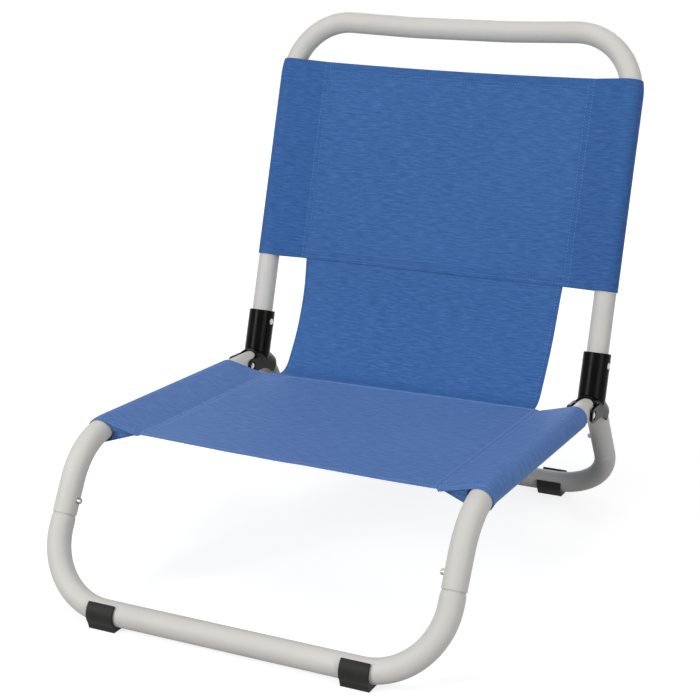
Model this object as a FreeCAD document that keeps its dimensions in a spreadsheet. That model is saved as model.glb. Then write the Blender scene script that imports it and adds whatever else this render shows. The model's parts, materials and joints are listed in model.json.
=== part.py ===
import FreeCAD, Part
import math
import os

import Sketcher

# Low folding beach chair.  Millimetres and degrees.
#
# Frame: +X to the sitter's left, +Y to the rear, +Z up.  The origin is on the
# ground, under the middle of the chair.  Two bent side rails join a front and
# a rear ground bar into the stand; the back frame folds forward on two moulded
# hinge sockets that straddle the rails.

SIZES = [
    # tube stock
    ("tube_diameter", 25.0),
    ("tube_wall", 1.2),
    # stand, measured on tube centre lines
    ("rail_spacing", 432.5),
    ("front_reach", 285.0),
    ("rear_reach", 281.5),
    ("front_leg_lean", 27.6),
    ("rear_leg_lean", 34.35),
    ("rail_pitch", 1.53),
    ("rail_front_bend", 71.7),
    ("rail_rear_bend", 60.0),
    ("front_bar_bend", 74.6),
    ("rear_bar_bend", 74.0),
    ("front_joint_rise", 88.2),
    ("rear_joint_rise", 79.3),
    # swaged spigots of the ground bars, and their snap buttons
    ("spigot_gap", 0.2),
    ("spigot_length", 34.0),
    ("front_shoulder", 7.0),
    ("rear_shoulder", 4.0),
    ("button_diameter", 6.0),
    ("button_gap", 0.2),
    ("button_proud", 4.5),
    ("front_button_rise", 15.0),
    ("rear_button_rise", 25.0),
    ("spring_width", 8.0),
    ("spring_thickness", 0.6),
    ("spring_tail", 18.0),
    ("spring_tip", 5.0),
    ("leaf_gap", 0.15),
    ("button_seat_gap", 0.05),
    ("button_dome", 1.4),
    # feet
    ("sole_thickness", 3.5),
    ("foot_spacing", 280.0),
    ("foot_length", 30.0),
    ("foot_wall", 3.0),
    ("foot_gap", 0.1),
    ("foot_outer_lip", 55.0),
    ("foot_inner_lip", 13.0),
    ("foot_shoulder", 36.0),
    ("sole_outward", 10.5),
    ("sole_inward", 8.0),
    # back hinge
    ("hinge_setback", 134.0),
    ("hinge_height", 156.7),
    ("fold_angle", 104.5),
    ("pivot_diameter", 6.0),
    ("pivot_gap", 0.08),
    ("rivet_head", 8.4),
    ("rivet_head_height", 1.4),
    ("rivet_seat_gap", 0.1),
    ("recess_diameter", 10.4),
    ("recess_depth", 1.2),
    ("ear_radius", 8.5),
    ("saddle_gap", 0.25),
    ("saddle_wall", 3.0),
    ("saddle_wrap", 38.0),
    ("saddle_window", 21.0),
    ("window_corner", 9.0),
    ("socket_offset", 35.0),
    ("socket_height", 70.0),
    ("socket_floor", 26.0),
    ("socket_root", 12.0),
    ("socket_wall", 3.2),
    ("socket_gap", 0.1),
    ("socket_chamfer", 0.8),
    ("socket_rivet_rise", 56.5),
    ("socket_rivet_diameter", 5.0),
    # back frame
    ("back_lean", 16.1),
    ("back_height", 430.4),
    ("back_bend", 71.5),
    ("top_dip_angle", 2.0),
    ("top_flat", 60.0),
    ("top_dip_bend", 600.0),
    # fabric
    ("fabric_thickness", 1.2),
    ("fabric_gap", 0.3),
    ("seam_inset", 44.0),
    ("seat_overlap", 18.0),
    ("seat_rear_gap", 17.0),
    ("hem_hollow", 5.0),
    ("panel_drop", 51.0),
    ("panel_height", 239.0),
    # loose sheet between the back panel and the seat's rear hem
    ("drop_width", 323.0),
    ("drop_gap", 0.8),
    ("drop_behind", 11.0),
    ("drop_dip", 3.2),
    ("drop_bend", 28.5),
    ("drop_bow", 12.6),
    ("drop_bow_bend", 250.0),
]

# Lengths that follow from the sizes.  "ahead" and "behind" run along the rail
# from the hinge pivot to the corners where the rail's straight lines meet.
LAYOUT = [
    ("tube_radius", "Sizes.tube_diameter / 2"),
    ("tube_bore", "tube_radius - Sizes.tube_wall"),
    ("half_spacing", "Sizes.rail_spacing / 2"),
    ("ground_height", "tube_radius + Sizes.sole_thickness"),
    ("pivot_rise", "Sizes.hinge_height - ground_height"),
    ("front_turn", "90 - Sizes.front_leg_lean + Sizes.rail_pitch"),
    ("rear_turn", "90 - Sizes.rear_leg_lean - Sizes.rail_pitch"),
    (
        "ahead",
        "((Sizes.hinge_setback + Sizes.front_reach) * cos(Sizes.front_leg_lean)"
        " - pivot_rise * sin(Sizes.front_leg_lean))"
        " / cos(Sizes.front_leg_lean - Sizes.rail_pitch)",
    ),
    (
        "behind",
        "((Sizes.rear_reach - Sizes.hinge_setback) * cos(Sizes.rear_leg_lean)"
        " - pivot_rise * sin(Sizes.rear_leg_lean))"
        " / cos(Sizes.rear_leg_lean + Sizes.rail_pitch)",
    ),
    (
        "front_run",
        "(pivot_rise + ahead * sin(Sizes.rail_pitch)) / cos(Sizes.front_leg_lean)"
        " - Sizes.front_joint_rise",
    ),
    (
        "rear_run",
        "(pivot_rise - behind * sin(Sizes.rail_pitch)) / cos(Sizes.rear_leg_lean)"
        " - Sizes.rear_joint_rise",
    ),
    ("straight_ahead", "ahead - Sizes.rail_front_bend * tan(front_turn / 2)"),
    ("straight_behind", "behind - Sizes.rail_rear_bend * tan(rear_turn / 2)"),
    ("spigot_radius", "tube_bore - Sizes.spigot_gap"),
    ("spigot_bore", "spigot_radius - Sizes.tube_wall"),
    ("button_hole", "Sizes.button_diameter / 2 + Sizes.button_gap"),
    (
        "leaf_reach",
        "sqrt(spigot_bore ^ 2 - (Sizes.spring_width / 2) ^ 2) - Sizes.leaf_gap",
    ),
    ("foot_bore", "tube_radius + Sizes.foot_gap"),
    ("foot_radius", "foot_bore + Sizes.foot_wall"),
    ("pivot_hole", "Sizes.pivot_diameter / 2 + Sizes.pivot_gap"),
    ("saddle_bore", "tube_radius + Sizes.saddle_gap"),
    ("saddle_radius", "saddle_bore + Sizes.saddle_wall"),
    ("swing_relief", "Sizes.ear_radius / sin(90 - Sizes.fold_angle / 2) + Sizes.saddle_gap"),
    ("pivot_grip", "saddle_radius - Sizes.recess_depth + Sizes.rivet_seat_gap"),
    ("socket_lean", "Sizes.back_lean - Sizes.rail_pitch"),
    ("socket_bore", "tube_radius + Sizes.socket_gap"),
    ("socket_radius", "socket_bore + Sizes.socket_wall"),
    ("socket_grip", "socket_radius - Sizes.recess_depth + Sizes.rivet_seat_gap"),
    ("top_rise", "(half_spacing - Sizes.top_flat) * tan(Sizes.top_dip_angle)"),
    ("sleeve_bore", "tube_radius + Sizes.fabric_gap"),
    ("sleeve_radius", "sleeve_bore + Sizes.fabric_thickness"),
    ("seam_x", "half_spacing - Sizes.seam_inset"),
    ("overlap_angle", "Sizes.seat_overlap / Sizes.rail_front_bend * 180 / pi"),
    ("hem_reach", "straight_ahead + Sizes.rail_front_bend * sin(overlap_angle)"),
    ("hem_radius", "(seam_x ^ 2 + Sizes.hem_hollow ^ 2) / (2 * Sizes.hem_hollow)"),
    ("panel_top", "Sizes.back_height - Sizes.panel_drop"),
    ("panel_bottom", "panel_top - Sizes.panel_height"),
    (
        "drop_top_run",
        "Sizes.socket_offset * cos(socket_lean) + panel_bottom * sin(socket_lean)",
    ),
    (
        "drop_top_rise",
        "panel_bottom * cos(socket_lean) - Sizes.socket_offset * sin(socket_lean)"
        " - Sizes.drop_gap",
    ),
    ("drop_run", "drop_top_run - Sizes.drop_behind"),
    ("drop_rise", "drop_top_rise + Sizes.drop_dip"),
    ("drop_chord", "sqrt(drop_run ^ 2 + drop_rise ^ 2)"),
]

RAIL_AXIS = FreeCAD.Vector(-1, 0, 0)
SPRUNG_ENDS = ("front", "rear")
SIDES = {"left": 1, "right": -1}

document = FreeCAD.newDocument("BeachChair")
sheet = document.addObject("Spreadsheet::Sheet", "Sizes")
layout = document.addObject("App::VarSet", "Layout")
bodies = []


def write_sizes():
    """Fill the sheet of driving sizes, then the lengths that follow from it."""
    for row, (name, size) in enumerate(SIZES, start=1):
        sheet.set(f"A{row}", name)
        sheet.set(f"B{row}", str(size))
        sheet.setAlias(f"B{row}", name)
    document.recompute()
    for name, expression in LAYOUT:
        layout.addProperty("App::PropertyFloat", name)
        layout.setExpression(name, expression)
    document.recompute()


def value(expression):
    """The number that an expression gives at the present sizes."""
    result = layout.evalExpression(expression)
    return float(getattr(result, "Value", result))


def spot(x, y):
    """A point of a sketch, from two expressions."""
    return FreeCAD.Vector(value(x), value(y), 0)


# ---------------------------------------------------------------- bodies


def make_body(label, base, axis=None, angle=None):
    """A sub-part whose origin lies at base, turned by angle about axis."""
    body = document.addObject("PartDesign::Body", label)
    body.Label = label
    if axis is not None:
        turn = FreeCAD.Rotation(axis, value(angle))
        body.Placement = FreeCAD.Placement(FreeCAD.Vector(), turn)
        body.setExpression("Placement.Rotation.Angle", angle)
    for letter, expression in zip("xyz", base):
        body.setExpression(f"Placement.Base.{letter}", expression)
    bodies.append(body)
    return body


def leg_frame(end, along):
    """Base and turn of a frame on a leg's axis, its Z running up the leg.

    The frame lies at a distance along the leg from the ground bar's axis.
    """
    way = {"front": -1, "rear": 1}[end]
    lean = f"Sizes.{end}_leg_lean"
    y = f"{way} * (Sizes.{end}_reach - ({along}) * sin({lean}))"
    z = f"Layout.ground_height + ({along}) * cos({lean})"
    return y, z, FreeCAD.Vector(way, 0, 0), lean


def make_leg_body(label, end, along, x="0"):
    """A sub-part in the frame of a front or a rear leg."""
    y, z, axis, lean = leg_frame(end, along)
    return make_body(label, (x, y, z), axis, lean)


def make_rail_body(label, x="0"):
    """A sub-part in the frame of the hinge pivot, its Y running along the rail."""
    base = (x, "Sizes.hinge_setback", "Sizes.hinge_height")
    return make_body(label, base, RAIL_AXIS, "Sizes.rail_pitch")


def make_back_body(label, along, x="0"):
    """A sub-part in the frame of the back's uprights, its Z running up them."""
    y = (
        "Sizes.hinge_setback + Sizes.socket_offset * cos(Sizes.back_lean)"
        f" + ({along}) * sin(Sizes.back_lean)"
    )
    z = (
        "Sizes.hinge_height - Sizes.socket_offset * sin(Sizes.back_lean)"
        f" + ({along}) * cos(Sizes.back_lean)"
    )
    return make_body(label, (x, y, z), RAIL_AXIS, "Sizes.back_lean")


def rail_x(side):
    """The distance of a side's rail and upright from the middle."""
    return f"{side} * Layout.half_spacing"


# ---------------------------------------------------------------- sketches


def plane(body, role):
    """One of a body's own origin planes."""
    for feature in body.Origin.OriginFeatures:
        if feature.Role == role:
            return feature
    raise LookupError(role)


def new_sketch(body, role, name, lift="0"):
    """A sketch on an origin plane of a body, lifted along the plane's normal."""
    sketch = body.newObject("Sketcher::SketchObject", name)
    sketch.AttachmentSupport = [(plane(body, role), "")]
    sketch.MapMode = "FlatFace"
    sketch.setExpression("AttachmentOffset.Base.z", lift)
    return sketch


def join(sketch, first, first_end, second, second_end):
    """Make two points of a sketch one."""
    sketch.addConstraint(
        Sketcher.Constraint("Coincident", first, first_end, second, second_end)
    )


def pin_along(sketch, kind, geometry, end, expression):
    """Hold one coordinate of a point at an expression."""
    if expression == "0":
        axis = -2 if kind == "DistanceX" else -1
        sketch.addConstraint(Sketcher.Constraint("PointOnObject", geometry, end, axis))
        return
    distance = value(expression)
    if distance < 0:
        constraint = Sketcher.Constraint(kind, geometry, end, -1, 1, -distance)
        expression = f"-({expression})"
    else:
        constraint = Sketcher.Constraint(kind, -1, 1, geometry, end, distance)
    index = sketch.addConstraint(constraint)
    sketch.setExpression(f"Constraints[{index}]", expression)


def pin_x(sketch, geometry, end, expression):
    """Hold a point's distance along the sketch's first axis."""
    pin_along(sketch, "DistanceX", geometry, end, expression)


def pin_y(sketch, geometry, end, expression):
    """Hold a point's distance along the sketch's second axis."""
    pin_along(sketch, "DistanceY", geometry, end, expression)


def pin(sketch, geometry, end, point):
    """Hold a point at two expressions."""
    pin_x(sketch, geometry, end, point[0])
    pin_y(sketch, geometry, end, point[1])


def set_radius(sketch, geometry, expression):
    """Bind the radius of a circle or an arc."""
    constraint = Sketcher.Constraint("Radius", geometry, value(expression))
    index = sketch.addConstraint(constraint)
    sketch.setExpression(f"Constraints[{index}]", expression)


def add_circle(sketch, radius, centre=("0", "0")):
    """A circle about a centre."""
    shape = Part.Circle(spot(*centre), FreeCAD.Vector(0, 0, 1), value(radius))
    circle = sketch.addGeometry(shape)
    pin(sketch, circle, 3, centre)
    set_radius(sketch, circle, radius)


def add_ring(sketch, outer, inner, centre=("0", "0")):
    """Two circles about one centre."""
    add_circle(sketch, outer, centre)
    add_circle(sketch, inner, centre)


def arc_between(start, end, centre, anticlockwise):
    """The arc that runs from start to end about a centre."""
    radius = (start - centre).Length
    circle = Part.Circle(centre, FreeCAD.Vector(0, 0, 1), radius)
    angles = [math.atan2(p.y - centre.y, p.x - centre.x) for p in (start, end)]
    if not anticlockwise:
        angles.reverse()
    if angles[1] <= angles[0]:
        angles[1] += 2 * math.pi
    return Part.ArcOfCircle(circle, angles[0], angles[1])


def add_run(sketch, points, arcs=None, closed=True):
    """Lines and arcs through points, each held in place.

    arcs maps the number of the point where an arc starts to its centre and to
    whether it runs anticlockwise.
    """
    arcs = arcs or {}
    count = len(points) if closed else len(points) - 1
    starts = []
    ends = []
    for number in range(count):
        here = spot(*points[number])
        there = spot(*points[(number + 1) % len(points)])
        if number in arcs:
            centre, anticlockwise = arcs[number]
            shape = arc_between(here, there, spot(*centre), anticlockwise)
            edge = sketch.addGeometry(shape)
            tips = (1, 2) if anticlockwise else (2, 1)
        else:
            edge = sketch.addGeometry(Part.LineSegment(here, there))
            tips = (1, 2)
        starts.append((edge, tips[0]))
        ends.append((edge, tips[1]))
    for number in range(count):
        pin(sketch, *starts[number], points[number])
        if number > 0:
            join(sketch, *ends[number - 1], *starts[number])
    if closed:
        join(sketch, *ends[-1], *starts[0])
    else:
        pin(sketch, *ends[-1], points[-1])
    for number, (centre, _) in arcs.items():
        chord = spot(*points[(number + 1) % len(points)]) - spot(*points[number])
        if abs(chord.x) > abs(chord.y):
            pin_y(sketch, starts[number][0], 3, centre[1])
        else:
            pin_x(sketch, starts[number][0], 3, centre[0])


def add_bent_line(sketch, corners, radii):
    """A tube's centre line: straight through its corners, rounded at each."""
    points = [spot(*corner) for corner in corners]
    edges = []
    start = points[0]
    for number, radius in enumerate(radii, start=1):
        corner = points[number]
        before = (points[number - 1] - corner).normalize()
        after = (points[number + 1] - corner).normalize()
        half = before.getAngle(after) / 2
        reach = value(radius) / math.tan(half)
        middle = (before + after).normalize()
        centre = corner + middle * (value(radius) / math.sin(half))
        enter = corner + before * reach
        leave = corner + after * reach
        anticlockwise = before.cross(after).z < 0
        line = sketch.addGeometry(Part.LineSegment(start, enter))
        arc = sketch.addGeometry(arc_between(enter, leave, centre, anticlockwise))
        edges.append((line, arc, (1, 2) if anticlockwise else (2, 1)))
        start = leave
    last = sketch.addGeometry(Part.LineSegment(start, points[-1]))
    lines = [line for line, _, _ in edges] + [last]
    for number, (line, arc, tips) in enumerate(edges):
        tangent = Sketcher.Constraint("Tangent", line, 2, arc, tips[0])
        sketch.addConstraint(tangent)
        tangent = Sketcher.Constraint("Tangent", lines[number + 1], 1, arc, tips[1])
        sketch.addConstraint(tangent)
        set_radius(sketch, arc, radii[number])
        corner = sketch.addGeometry(Part.Point(points[number + 1]), True)
        pin(sketch, corner, 1, corners[number + 1])
        for side in (line, lines[number + 1]):
            on_line = Sketcher.Constraint("PointOnObject", corner, 1, side)
            sketch.addConstraint(on_line)
    pin(sketch, lines[0], 1, corners[0])
    pin(sketch, lines[-1], 2, corners[-1])


# ---------------------------------------------------------------- features


def pad(body, sketch, name, length):
    """A pad that reaches equally to both sides of its sketch."""
    feature = body.newObject("PartDesign::Pad", name)
    feature.Profile = sketch
    feature.SideType = "Symmetric"
    feature.setExpression("Length", length)
    return feature


def pocket(body, sketch, name, length, symmetric=False, reverse=False):
    """A pocket cut against the sketch's normal, or to both sides of it."""
    feature = body.newObject("PartDesign::Pocket", name)
    feature.Profile = sketch
    feature.Reversed = reverse
    if symmetric:
        feature.SideType = "Symmetric"
    feature.setExpression("Length", length)
    return feature


def revolve(body, sketch, name, axis="V_Axis", cut=False):
    """A full turn of a sketch about one of its own axes."""
    kind = "PartDesign::Groove" if cut else "PartDesign::Revolution"
    feature = body.newObject(kind, name)
    feature.Profile = sketch
    feature.ReferenceAxis = (sketch, [axis])
    feature.Angle = 360
    return feature


def sweep(body, profile, path, name, cut=False):
    """A profile carried along a path."""
    kind = "PartDesign::SubtractivePipe" if cut else "PartDesign::AdditivePipe"
    feature = body.newObject(kind, name)
    feature.Profile = profile
    feature.Spine = path
    return feature


def mirror(body, originals, name="BothSides"):
    """The other half of a body, or of some of its features, across the middle."""
    feature = body.newObject("PartDesign::Mirrored", name)
    feature.Originals = originals
    feature.MirrorPlane = (plane(body, "YZ_Plane"), [""])
    body.Tip = feature
    return feature


def side_hole(body, name, radius, centre, length, symmetric=True, reverse=False):
    """A round hole that runs along X."""
    sketch = new_sketch(body, "YZ_Plane", f"{name}Circle")
    add_circle(sketch, radius, centre)
    return pocket(body, sketch, name, length, symmetric, reverse)


def dome_radius(radius, height):
    """The radius of a ball whose cap has a radius and a height."""
    return f"(({radius}) ^ 2 + ({height}) ^ 2) / (2 * ({height}))"


def fabric_section(sketch):
    """Half of a sheet, with the sleeve that a rail or an upright runs through.

    The sheet is flat from the middle to the seam, where it splits into the
    sleeve's two layers; they run straight on to the tube and close round it.
    """
    half = "Sizes.fabric_thickness / 2"
    sheet_points = [
        ("Layout.seam_x", f"-{half}"),
        ("0", f"-{half}"),
        ("0", half),
        ("Layout.seam_x", half),
    ]
    add_run(sketch, sheet_points, closed=False)
    last_line = len(sheet_points) - 2
    centre = spot("Layout.half_spacing", "0")
    outer = sleeve_loop(sketch, "Layout.sleeve_radius", spot("Layout.seam_x", half))
    join(sketch, outer[0], 1, last_line, 2)
    join(sketch, outer[2], 2, 0, 1)
    lean = math.asin((value("Layout.sleeve_radius")) / value("Sizes.seam_inset"))
    reach = value("Layout.sleeve_bore") / math.sin(lean)
    inner = sleeve_loop(sketch, "Layout.sleeve_bore", centre - FreeCAD.Vector(reach, 0, 0))
    join(sketch, inner[0], 1, inner[2], 2)
    pin_y(sketch, inner[0], 1, "0")
    sketch.addConstraint(Sketcher.Constraint("Parallel", inner[0], outer[0]))


def sleeve_loop(sketch, radius, start):
    """A line to the tube, an arc round it and a line back, all tangent."""
    centre = spot("Layout.half_spacing", "0")
    offset = start - centre
    size = value(radius)
    swing = math.acos(size / offset.Length)
    angle = math.atan2(start.y, offset.x) - swing
    touch = centre + FreeCAD.Vector(math.cos(angle), math.sin(angle), 0) * size
    mirrored_touch = FreeCAD.Vector(touch.x, -touch.y, 0)
    mirrored_start = FreeCAD.Vector(start.x, -start.y, 0)
    upper = sketch.addGeometry(Part.LineSegment(start, touch))
    arc = sketch.addGeometry(arc_between(touch, mirrored_touch, centre, False))
    lower = sketch.addGeometry(Part.LineSegment(mirrored_touch, mirrored_start))
    sketch.addConstraint(Sketcher.Constraint("Tangent", upper, 2, arc, 2))
    sketch.addConstraint(Sketcher.Constraint("Tangent", lower, 1, arc, 1))
    pin(sketch, arc, 3, ("Layout.half_spacing", "0"))
    set_radius(sketch, arc, radius)
    return upper, arc, lower


# ---------------------------------------------------------------- stand


def make_ground_bar(end):
    """A ground bar, bent up at both ends into short legs with swaged spigots."""
    body = make_leg_body(f"{end}_leg_bar", end, "0")
    joint = f"Sizes.{end}_joint_rise"
    neck = f"Sizes.{end}_shoulder"
    shoulder = f"{joint} - {neck}"
    path = new_sketch(body, "XZ_Plane", "BarPath")
    corners = [("0", "0"), ("Layout.half_spacing", "0"), ("Layout.half_spacing", shoulder)]
    add_bent_line(path, corners, [f"Sizes.{end}_bar_bend"])
    ring = new_sketch(body, "YZ_Plane", "BarRing")
    add_ring(ring, "Layout.tube_radius", "Layout.tube_bore")
    bar = sweep(body, ring, path, "BarTube")
    section = new_sketch(body, "XZ_Plane", "SpigotSection")
    section.setExpression("AttachmentOffset.Base.x", "Layout.half_spacing")
    tip = f"{joint} + Sizes.spigot_length"
    points = [
        ("Layout.tube_radius", shoulder),
        ("Layout.spigot_radius", joint),
        ("Layout.spigot_radius", f"{tip} - Sizes.tube_wall"),
        ("Layout.spigot_radius - Sizes.tube_wall / 2", tip),
        ("Layout.spigot_bore", tip),
        ("Layout.spigot_bore", joint),
        ("Layout.tube_bore", shoulder),
    ]
    curve = dome_radius(neck, "(Layout.tube_radius - Layout.spigot_radius)")
    add_run(section, points, {0: ((f"Layout.tube_radius - {curve}", shoulder), True)})
    spigot = revolve(body, section, "Spigot")
    centre = ("0", f"{joint} + Sizes.{end}_button_rise")
    hole = new_sketch(body, "YZ_Plane", "ButtonCircle", "Layout.half_spacing")
    add_circle(hole, "Layout.button_hole", centre)
    hole = pocket(body, hole, "ButtonHole", "Layout.tube_radius")
    mirror(body, [bar, spigot, hole])


def make_rail(name, side):
    """A side rail: the front leg, the seat rail and the rear leg, in one tube."""
    body = make_leg_body(f"rail_{name}", "front", "Sizes.front_joint_rise", rail_x(side))
    corner_y = "(Layout.ahead + Layout.behind) * sin(Layout.front_turn)"
    corner_z = (
        "Layout.front_run"
        " + (Layout.ahead + Layout.behind) * cos(Layout.front_turn)"
    )
    rear_y = "sin(Layout.front_turn + Layout.rear_turn)"
    rear_z = "cos(Layout.front_turn + Layout.rear_turn)"
    corners = [
        ("0", "0"),
        ("0", "Layout.front_run"),
        (corner_y, corner_z),
        (
            f"{corner_y} + Layout.rear_run * {rear_y}",
            f"{corner_z} + Layout.rear_run * {rear_z}",
        ),
    ]
    path = new_sketch(body, "YZ_Plane", "RailPath")
    add_bent_line(path, corners, ["Sizes.rail_front_bend", "Sizes.rail_rear_bend"])
    ring = new_sketch(body, "XY_Plane", "RailRing")
    add_ring(ring, "Layout.tube_radius", "Layout.tube_bore")
    sweep(body, ring, path, "RailTube")
    pivot = (
        "Layout.ahead * sin(Layout.front_turn)",
        "Layout.front_run + Layout.ahead * cos(Layout.front_turn)",
    )
    side_hole(body, "PivotHole", "Layout.pivot_hole", pivot, "2 * Sizes.tube_diameter")
    below = "(Layout.rear_run - Sizes.rear_button_rise)"
    buttons = {
        "Front": ("0", "Sizes.front_button_rise"),
        "Rear": (f"{corner_y} + {below} * {rear_y}", f"{corner_z} + {below} * {rear_z}"),
    }
    for end, centre in buttons.items():
        side_hole(
            body,
            f"{end}ButtonHole",
            "Layout.button_hole",
            centre,
            "Sizes.tube_diameter",
            symmetric=False,
            reverse=side < 0,
        )


def make_snap_button(end, name, side):
    """A domed button that stands out through the spigot and the rail."""
    along = f"Sizes.{end}_joint_rise + Sizes.{end}_button_rise"
    body = make_leg_body(f"button_{end}_{name}", end, along, rail_x(side))
    radius = "Sizes.button_diameter / 2"
    base = "Layout.leaf_reach + Sizes.button_seat_gap"
    top = "Layout.tube_radius + Sizes.button_proud"
    curve = dome_radius(radius, "Sizes.button_dome")
    points = [
        (f"{-side} * ({base})", "0"),
        (f"{-side} * ({base})", radius),
        (f"{-side} * ({top} - Sizes.button_dome)", radius),
        (f"{-side} * ({top})", "0"),
    ]
    section = new_sketch(body, "XY_Plane", "ButtonSection")
    add_run(section, points, {2: ((f"{-side} * ({top} - {curve})", "0"), side > 0)})
    revolve(body, section, "Button", axis="H_Axis")


def make_button_spring(end, name, side):
    """A hairpin of spring strip inside the joint, its outer leaf under the button."""
    along = f"Sizes.{end}_joint_rise + Sizes.{end}_button_rise"
    body = make_leg_body(f"spring_{end}_{name}", end, along, rail_x(side))
    outside = "Layout.leaf_reach"
    inside = "Layout.leaf_reach - Sizes.spring_thickness"
    centre = ("0", "-Sizes.spring_tail")
    points = [
        (f"-({outside})", "Sizes.spring_tip"),
        (f"-({outside})", "-Sizes.spring_tail"),
        (outside, "-Sizes.spring_tail"),
        (outside, "Sizes.spring_tip"),
        (inside, "Sizes.spring_tip"),
        (inside, "-Sizes.spring_tail"),
        (f"-({inside})", "-Sizes.spring_tail"),
        (f"-({inside})", "Sizes.spring_tip"),
    ]
    section = new_sketch(body, "XZ_Plane", "HairpinSection")
    add_run(section, points, {1: (centre, True), 5: (centre, False)})
    pad(body, section, "Hairpin", "Sizes.spring_width")


def polar(radius, angle):
    """A point at an angle round the sketch's origin."""
    return f"{radius} * cos({angle})", f"{radius} * sin({angle})"


def make_foot(end, name, side):
    """A clip foot that grips a ground bar from below, flat on its sole."""
    way = {"front": 1, "rear": -1}[end]
    base = (
        f"{side} * Sizes.foot_spacing / 2",
        f"{-way} * Sizes.{end}_reach",
        "Layout.ground_height",
    )
    body = make_body(f"foot_{end}_{name}", base)
    outer_lip = "180 - Sizes.foot_outer_lip"
    core = "Layout.tube_bore"
    shell = "Layout.foot_radius"
    sole = "-Layout.ground_height"
    points = [
        polar(core, outer_lip),
        polar(core, "Sizes.foot_inner_lip"),
        polar(shell, "Sizes.foot_inner_lip"),
        polar(shell, "-Sizes.foot_shoulder"),
        ("Sizes.sole_inward", sole),
        ("-Sizes.sole_outward", sole),
        polar(shell, "180 + Sizes.foot_shoulder"),
        polar(shell, outer_lip),
    ]
    if way < 0:
        points = [(f"-({y})", z) for y, z in points]
    centre = ("0", "0")
    arcs = {0: (centre, way > 0), 2: (centre, way < 0), 6: (centre, way < 0)}
    section = new_sketch(body, "YZ_Plane", "ClipSection")
    add_run(section, points, arcs)
    pad(body, section, "Clip", "Sizes.foot_length")
    cut_bar_room(body, end, side)


def cut_bar_room(body, end, side):
    """Open a foot's grip along the ground bar, which bends up beside it."""
    way = {"front": -1, "rear": 1}[end]
    start = f"{-side} * Sizes.foot_length"
    corner = f"{side} * (Layout.half_spacing - Sizes.foot_spacing / 2)"
    corners = [(start, "0"), (corner, "0"), (corner, f"Sizes.{end}_joint_rise")]
    path = new_sketch(body, "XZ_Plane", "BarPath")
    turn = FreeCAD.Rotation(FreeCAD.Vector(way, 0, 0), value(f"Sizes.{end}_leg_lean"))
    path.AttachmentOffset = FreeCAD.Placement(FreeCAD.Vector(), turn)
    path.setExpression("AttachmentOffset.Rotation.Angle", f"Sizes.{end}_leg_lean")
    add_bent_line(path, corners, [f"Sizes.{end}_bar_bend"])
    circle = new_sketch(body, "YZ_Plane", "BarCircle", start)
    add_circle(circle, "Layout.foot_bore")
    sweep(body, circle, path, "BarRoom", cut=True)


# ---------------------------------------------------------------- hinges


def make_rivet(body, shank, grip):
    """A rivet along X with a low domed head at each end."""
    head = "Sizes.rivet_head / 2"
    end = f"{grip} + Sizes.rivet_head_height"
    centre = f"{end} - {dome_radius(head, 'Sizes.rivet_head_height')}"
    points = [
        (f"-({end})", "0"),
        (f"-({grip})", head),
        (f"-({grip})", shank),
        (grip, shank),
        (grip, head),
        (end, "0"),
    ]
    section = new_sketch(body, "XY_Plane", "RivetSection")
    add_run(section, points, {0: ((f"-({centre})", "0"), False), 4: ((centre, "0"), False)})
    revolve(body, section, "Rivet", axis="H_Axis")


def make_hinge_socket(name, side):
    """The moulded hinge socket: a saddle over the rail with a sleeve for the upright.

    The saddle is an arch that follows the rail round its rear bend.  Two flat
    ears carry it on the pivot, and a window in front of the arch lets it swing
    up and over the rail.  The sleeve stands behind the pivot and takes the
    upright's foot.
    """
    body = make_rail_body(f"hinge_socket_{name}", rail_x(side))
    add_saddle(body)
    add_sleeve(body)
    cut_saddle(body)
    cut_sleeve(body)


def arch(sketch, radius, depth):
    """A half-round roof over straight walls."""
    points = [(f"-{radius}", "0"), (radius, "0"), (radius, f"-({depth})")]
    points.append((f"-{radius}", f"-({depth})"))
    add_run(sketch, points, {0: (("0", "0"), False)})


def bend_path(sketch, start, wrap):
    """The rail's centre line from a point near the pivot into the rear bend."""
    bend = "Sizes.rail_rear_bend"
    points = [
        (start, "0"),
        ("Layout.straight_behind", "0"),
        (f"Layout.straight_behind + {bend} * sin({wrap})", f"{bend} * (cos({wrap}) - 1)"),
    ]
    centre = ("Layout.straight_behind", f"-{bend}")
    add_run(sketch, points, {1: (centre, False)}, closed=False)


def add_saddle(body):
    """The solid arch over the rail, and the flat ears round the pivot."""
    section = new_sketch(body, "XZ_Plane", "SaddleArch")
    arch(section, "Layout.saddle_radius", "Sizes.ear_radius")
    path = new_sketch(body, "YZ_Plane", "SaddlePath")
    bend_path(path, "0", "Sizes.saddle_wrap")
    sweep(body, section, path, "Saddle")
    ear = "Sizes.ear_radius"
    points = [
        ("0", ear),
        ("0", f"-{ear}"),
        ("Sizes.saddle_window", f"-{ear}"),
        ("Sizes.saddle_window", ear),
    ]
    outline = new_sketch(body, "YZ_Plane", "EarOutline")
    add_run(outline, points, {0: (("0", "0"), True)})
    pad(body, outline, "Ears", "2 * Layout.saddle_radius")


def upright_sketch(body, name):
    """A sketch across a socket whose second axis is the upright's axis."""
    sketch = new_sketch(body, "YZ_Plane", name)
    turn = FreeCAD.Rotation(FreeCAD.Vector(0, 0, -1), value("Layout.socket_lean"))
    sketch.AttachmentOffset = FreeCAD.Placement(FreeCAD.Vector(), turn)
    lean = "Layout.socket_lean"
    sketch.setExpression("AttachmentOffset.Rotation.Angle", lean)
    sketch.setExpression("AttachmentOffset.Base.x", f"Sizes.socket_offset * cos({lean})")
    sketch.setExpression("AttachmentOffset.Base.y", f"-Sizes.socket_offset * sin({lean})")
    return sketch


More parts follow.
